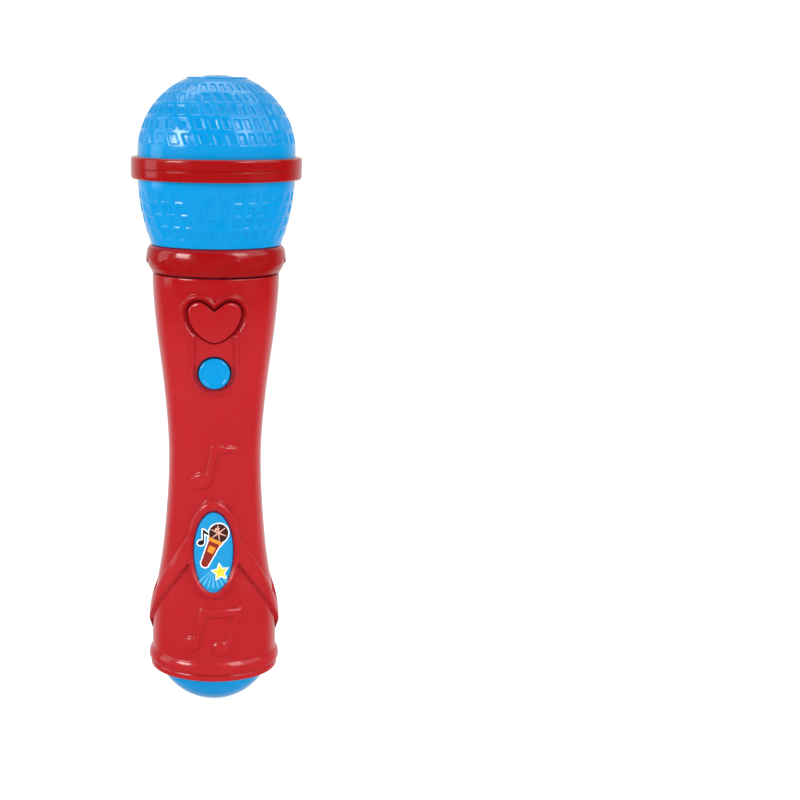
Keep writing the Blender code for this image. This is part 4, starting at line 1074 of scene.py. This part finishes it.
def cell_sleeve():
    """Printed battery sleeve: a copper-coloured top band over black, along the cell's length."""
    material, tree, shader = new_material("cell_sleeve")
    ramp = tree.nodes.new("ShaderNodeValToRGB")
    bands = ramp.color_ramp
    bands.interpolation = "CONSTANT"
    bands.elements[0].color = (0.55, 0.56, 0.58, 1)
    bands.elements[1].position = 0.97
    bands.elements[1].color = (0.6, 0.6, 0.6, 1)
    for position, colour in ((0.03, (0.02, 0.02, 0.022, 1)), (0.68, (0.72, 0.4, 0.13, 1))):
        bands.elements.new(position).color = colour
    tree.links.new(along(tree, "Generated", "Z"), ramp.inputs["Fac"])
    fill(shader, Metallic=0.6)
    sheen = spread(tree, noise(tree, 350, 4), 0.22, 0.38)
    dress(tree, shader, ramp.outputs["Color"], sheen, (noise(tree, 500, 3), 0.01))
    return material


MOULDINGS = (  # slot, name, deep, light, roughness, flow, grain, coat
    ("black_plastic", "black_moulding", (0.012, 0.012, 0.013), (0.03, 0.03, 0.032), (0.3, 0.45),
     0.03, 0.01, 0),
    ("white_plastic", "natural_polypropylene", (0.62, 0.61, 0.57), (0.7, 0.69, 0.65), (0.38, 0.52),
     0.05, 0.01, 0),
    ("magnet", "sintered_ferrite", (0.03, 0.03, 0.032), (0.07, 0.07, 0.072), (0.5, 0.7), 0.04, 0.05, 0),
    ("capacitor_sleeve", "capacitor_sleeve", (0.015, 0.03, 0.11), (0.03, 0.05, 0.16), (0.2, 0.3),
     0.04, 0.004, 0.2),
    ("red_wire", "red_insulation", (0.4, 0.008, 0.01), (0.5, 0.012, 0.014), (0.3, 0.42), 0.03, 0.006, 0),
    ("black_wire", "black_insulation", (0.012, 0.012, 0.012), (0.03, 0.03, 0.03), (0.3, 0.42),
     0.03, 0.006, 0))


def inner_pieces():
    """Gives the CAD pieces their materials, by the record's slots."""
    finishes = {"red_plastic": RED, "blue_plastic": BLUE, "badge_print": BLUE, "board_green": solder_mask(),
                "steel": brushed_metal("nickel_plate", (0.66, 0.63, 0.57)), "cone_paper": cone_paper(),
                "cell_sleeve": cell_sleeve()}
    finishes.update({slot: plastic(*rest) for slot, *rest in MOULDINGS})
    for part in frame["record"]["subparts"]:
        mesh = frame["nodes"][part["node"]].data
        mesh.materials.clear()
        mesh.materials.append(finishes[part["material_slot"]])


inner_pieces()
head_dome()
head_cup()
equator_ring()
neck_collar()
handle_front()
handle_rear()
battery_cover()
foot_dome()
heart_button()
round_button()
badge()
screws()


# ---- studio

BOWL_FLOOR = 2.2  # metres: the pale floor's radius, its sweep and its wall's top
BOWL_SWEEP = 0.6
BOWL_TOP = 1.3


def studio():
    """A pale glowing floor that sweeps up into a low round wall."""
    material, tree, shader = new_material("studio_white")
    tone = two_tone(tree, noise(tree, 3, 2), (0.30, 0.30, 0.30), (0.33, 0.33, 0.33))
    tree.links.new(tone, shader.inputs["Base Color"])
    fill(shader, Roughness=0.9, Specular_IOR_Level=0.1, Emission_Color=(1, 1, 1, 1), Emission_Strength=0.88)
    profile = [(0.0, 0.0), (0.7, 0.0), (BOWL_FLOOR, 0.0)]
    profile += [(BOWL_FLOOR + BOWL_SWEEP * math.sin(a), BOWL_SWEEP * (1 - math.cos(a)))
                for a in np.linspace(0, math.pi / 2, 17)[1:]]
    profile.append((BOWL_FLOOR + BOWL_SWEEP, BOWL_TOP))
    bm = bmesh.new()
    verts = [bm.verts.new((r, 0, z)) for r, z in profile]
    edges = [bm.edges.new(pair) for pair in zip(verts, verts[1:])]
    bmesh.ops.spin(bm, geom=verts + edges, cent=(0, 0, 0), axis=(0, 0, 1), angle=TURN, steps=96,
                   use_merge=True)
    bmesh.ops.remove_doubles(bm, verts=bm.verts[:], dist=1e-5)
    bmesh.ops.recalc_face_normals(bm, faces=bm.faces[:])
    mesh = mesh_from("pale_floor", bm)
    mesh.shade_smooth()
    mesh.materials.append(material)
    floor = place("pale_floor", mesh)
    floor.visible_glossy = False


def area_light(name, azimuth, elevation, distance, width, height, power, target=(0, 0, 0.13)):
    """A softbox; azimuth 0 is on the camera's side, positive to the right."""
    data = bpy.data.lights.new(name, "AREA")
    data.shape = "RECTANGLE"
    data.size, data.size_y = width, height
    data.energy = power
    obj = place(name, data)
    a, e = math.radians(azimuth), math.radians(elevation)
    away = Vector((math.sin(a) * math.cos(e), -math.cos(a) * math.cos(e), math.sin(e)))
    obj.location = Vector(target) + away * distance
    obj.rotation_euler = away.to_track_quat("Z", "Y").to_euler()
    return obj


AIR_FLOOR = 0.003  # brightness of the room where no band reaches
AIR_BANDS = (("Z", 0.6, 0.97, 0.5), ("Y", 0.3, 1.0, 0.75), ("Z", -0.6, -0.95, 0.12))


def studio_air():
    """The room that gloss reflects: dim in front and level, brighter overhead and behind the toy."""
    world = bpy.data.worlds.new("studio_air")
    world.use_nodes = True
    tree = world.node_tree
    brightness = None
    for axis, start, end, gain in AIR_BANDS:
        band = remap(tree, along(tree, "Generated", axis), start, end, 0, gain, "SMOOTHSTEP")
        total = tree.nodes.new("ShaderNodeMath")
        total.operation = "ADD"
        total.inputs[1].default_value = AIR_FLOOR
        tree.links.new(band, total.inputs[0])
        if brightness is not None:
            tree.links.new(brightness, total.inputs[1])
        brightness = total.outputs["Value"]
    background = fill(tree.nodes["Background"], Color=(1, 1, 1, 1))
    tree.links.new(brightness, background.inputs["Strength"])
    bpy.context.scene.world = world


def lights():
    area_light("key_left", -57, 24, 1.0, 0.40, 0.36, 6.1)
    area_light("side_left", -96, 16, 1.1, 0.45, 0.9, 1.6)
    area_light("softbox_right", 66, 38, 1.3, 1.5, 1.1, 6.6)
    area_light("strip_right", 46, 34, 1.2, 0.42, 0.5, 3.4)
    area_light("overhead", 180, 72, 1.0, 1.3, 0.4, 3.6)
    low = area_light("low_right", 64, 9, 0.5, 0.26, 0.12, 0.48, target=(0, 0, 0.045))
    low.visible_glossy = False


def camera():
    data = bpy.data.cameras.new("camera")
    data.sensor_width = 36.0
    data.lens = 75.97
    data.shift_x = 0.191  # the toy stands left of the middle of the frame
    obj = place("camera", data)
    pitch, roll = math.radians(10.523), math.radians(0.50)
    obj.location = (0.0122, -0.634, 0.236)
    aim = Matrix.Rotation(math.pi / 2 - pitch, 4, "X") @ Matrix.Rotation(roll, 4, "Z")
    obj.rotation_euler = aim.to_euler()
    data.clip_start = 0.01
    data.clip_end = 50
    bpy.context.scene.camera = obj


studio()
studio_air()
lights()
camera()
bpy.context.scene.view_settings.view_transform = "Standard"
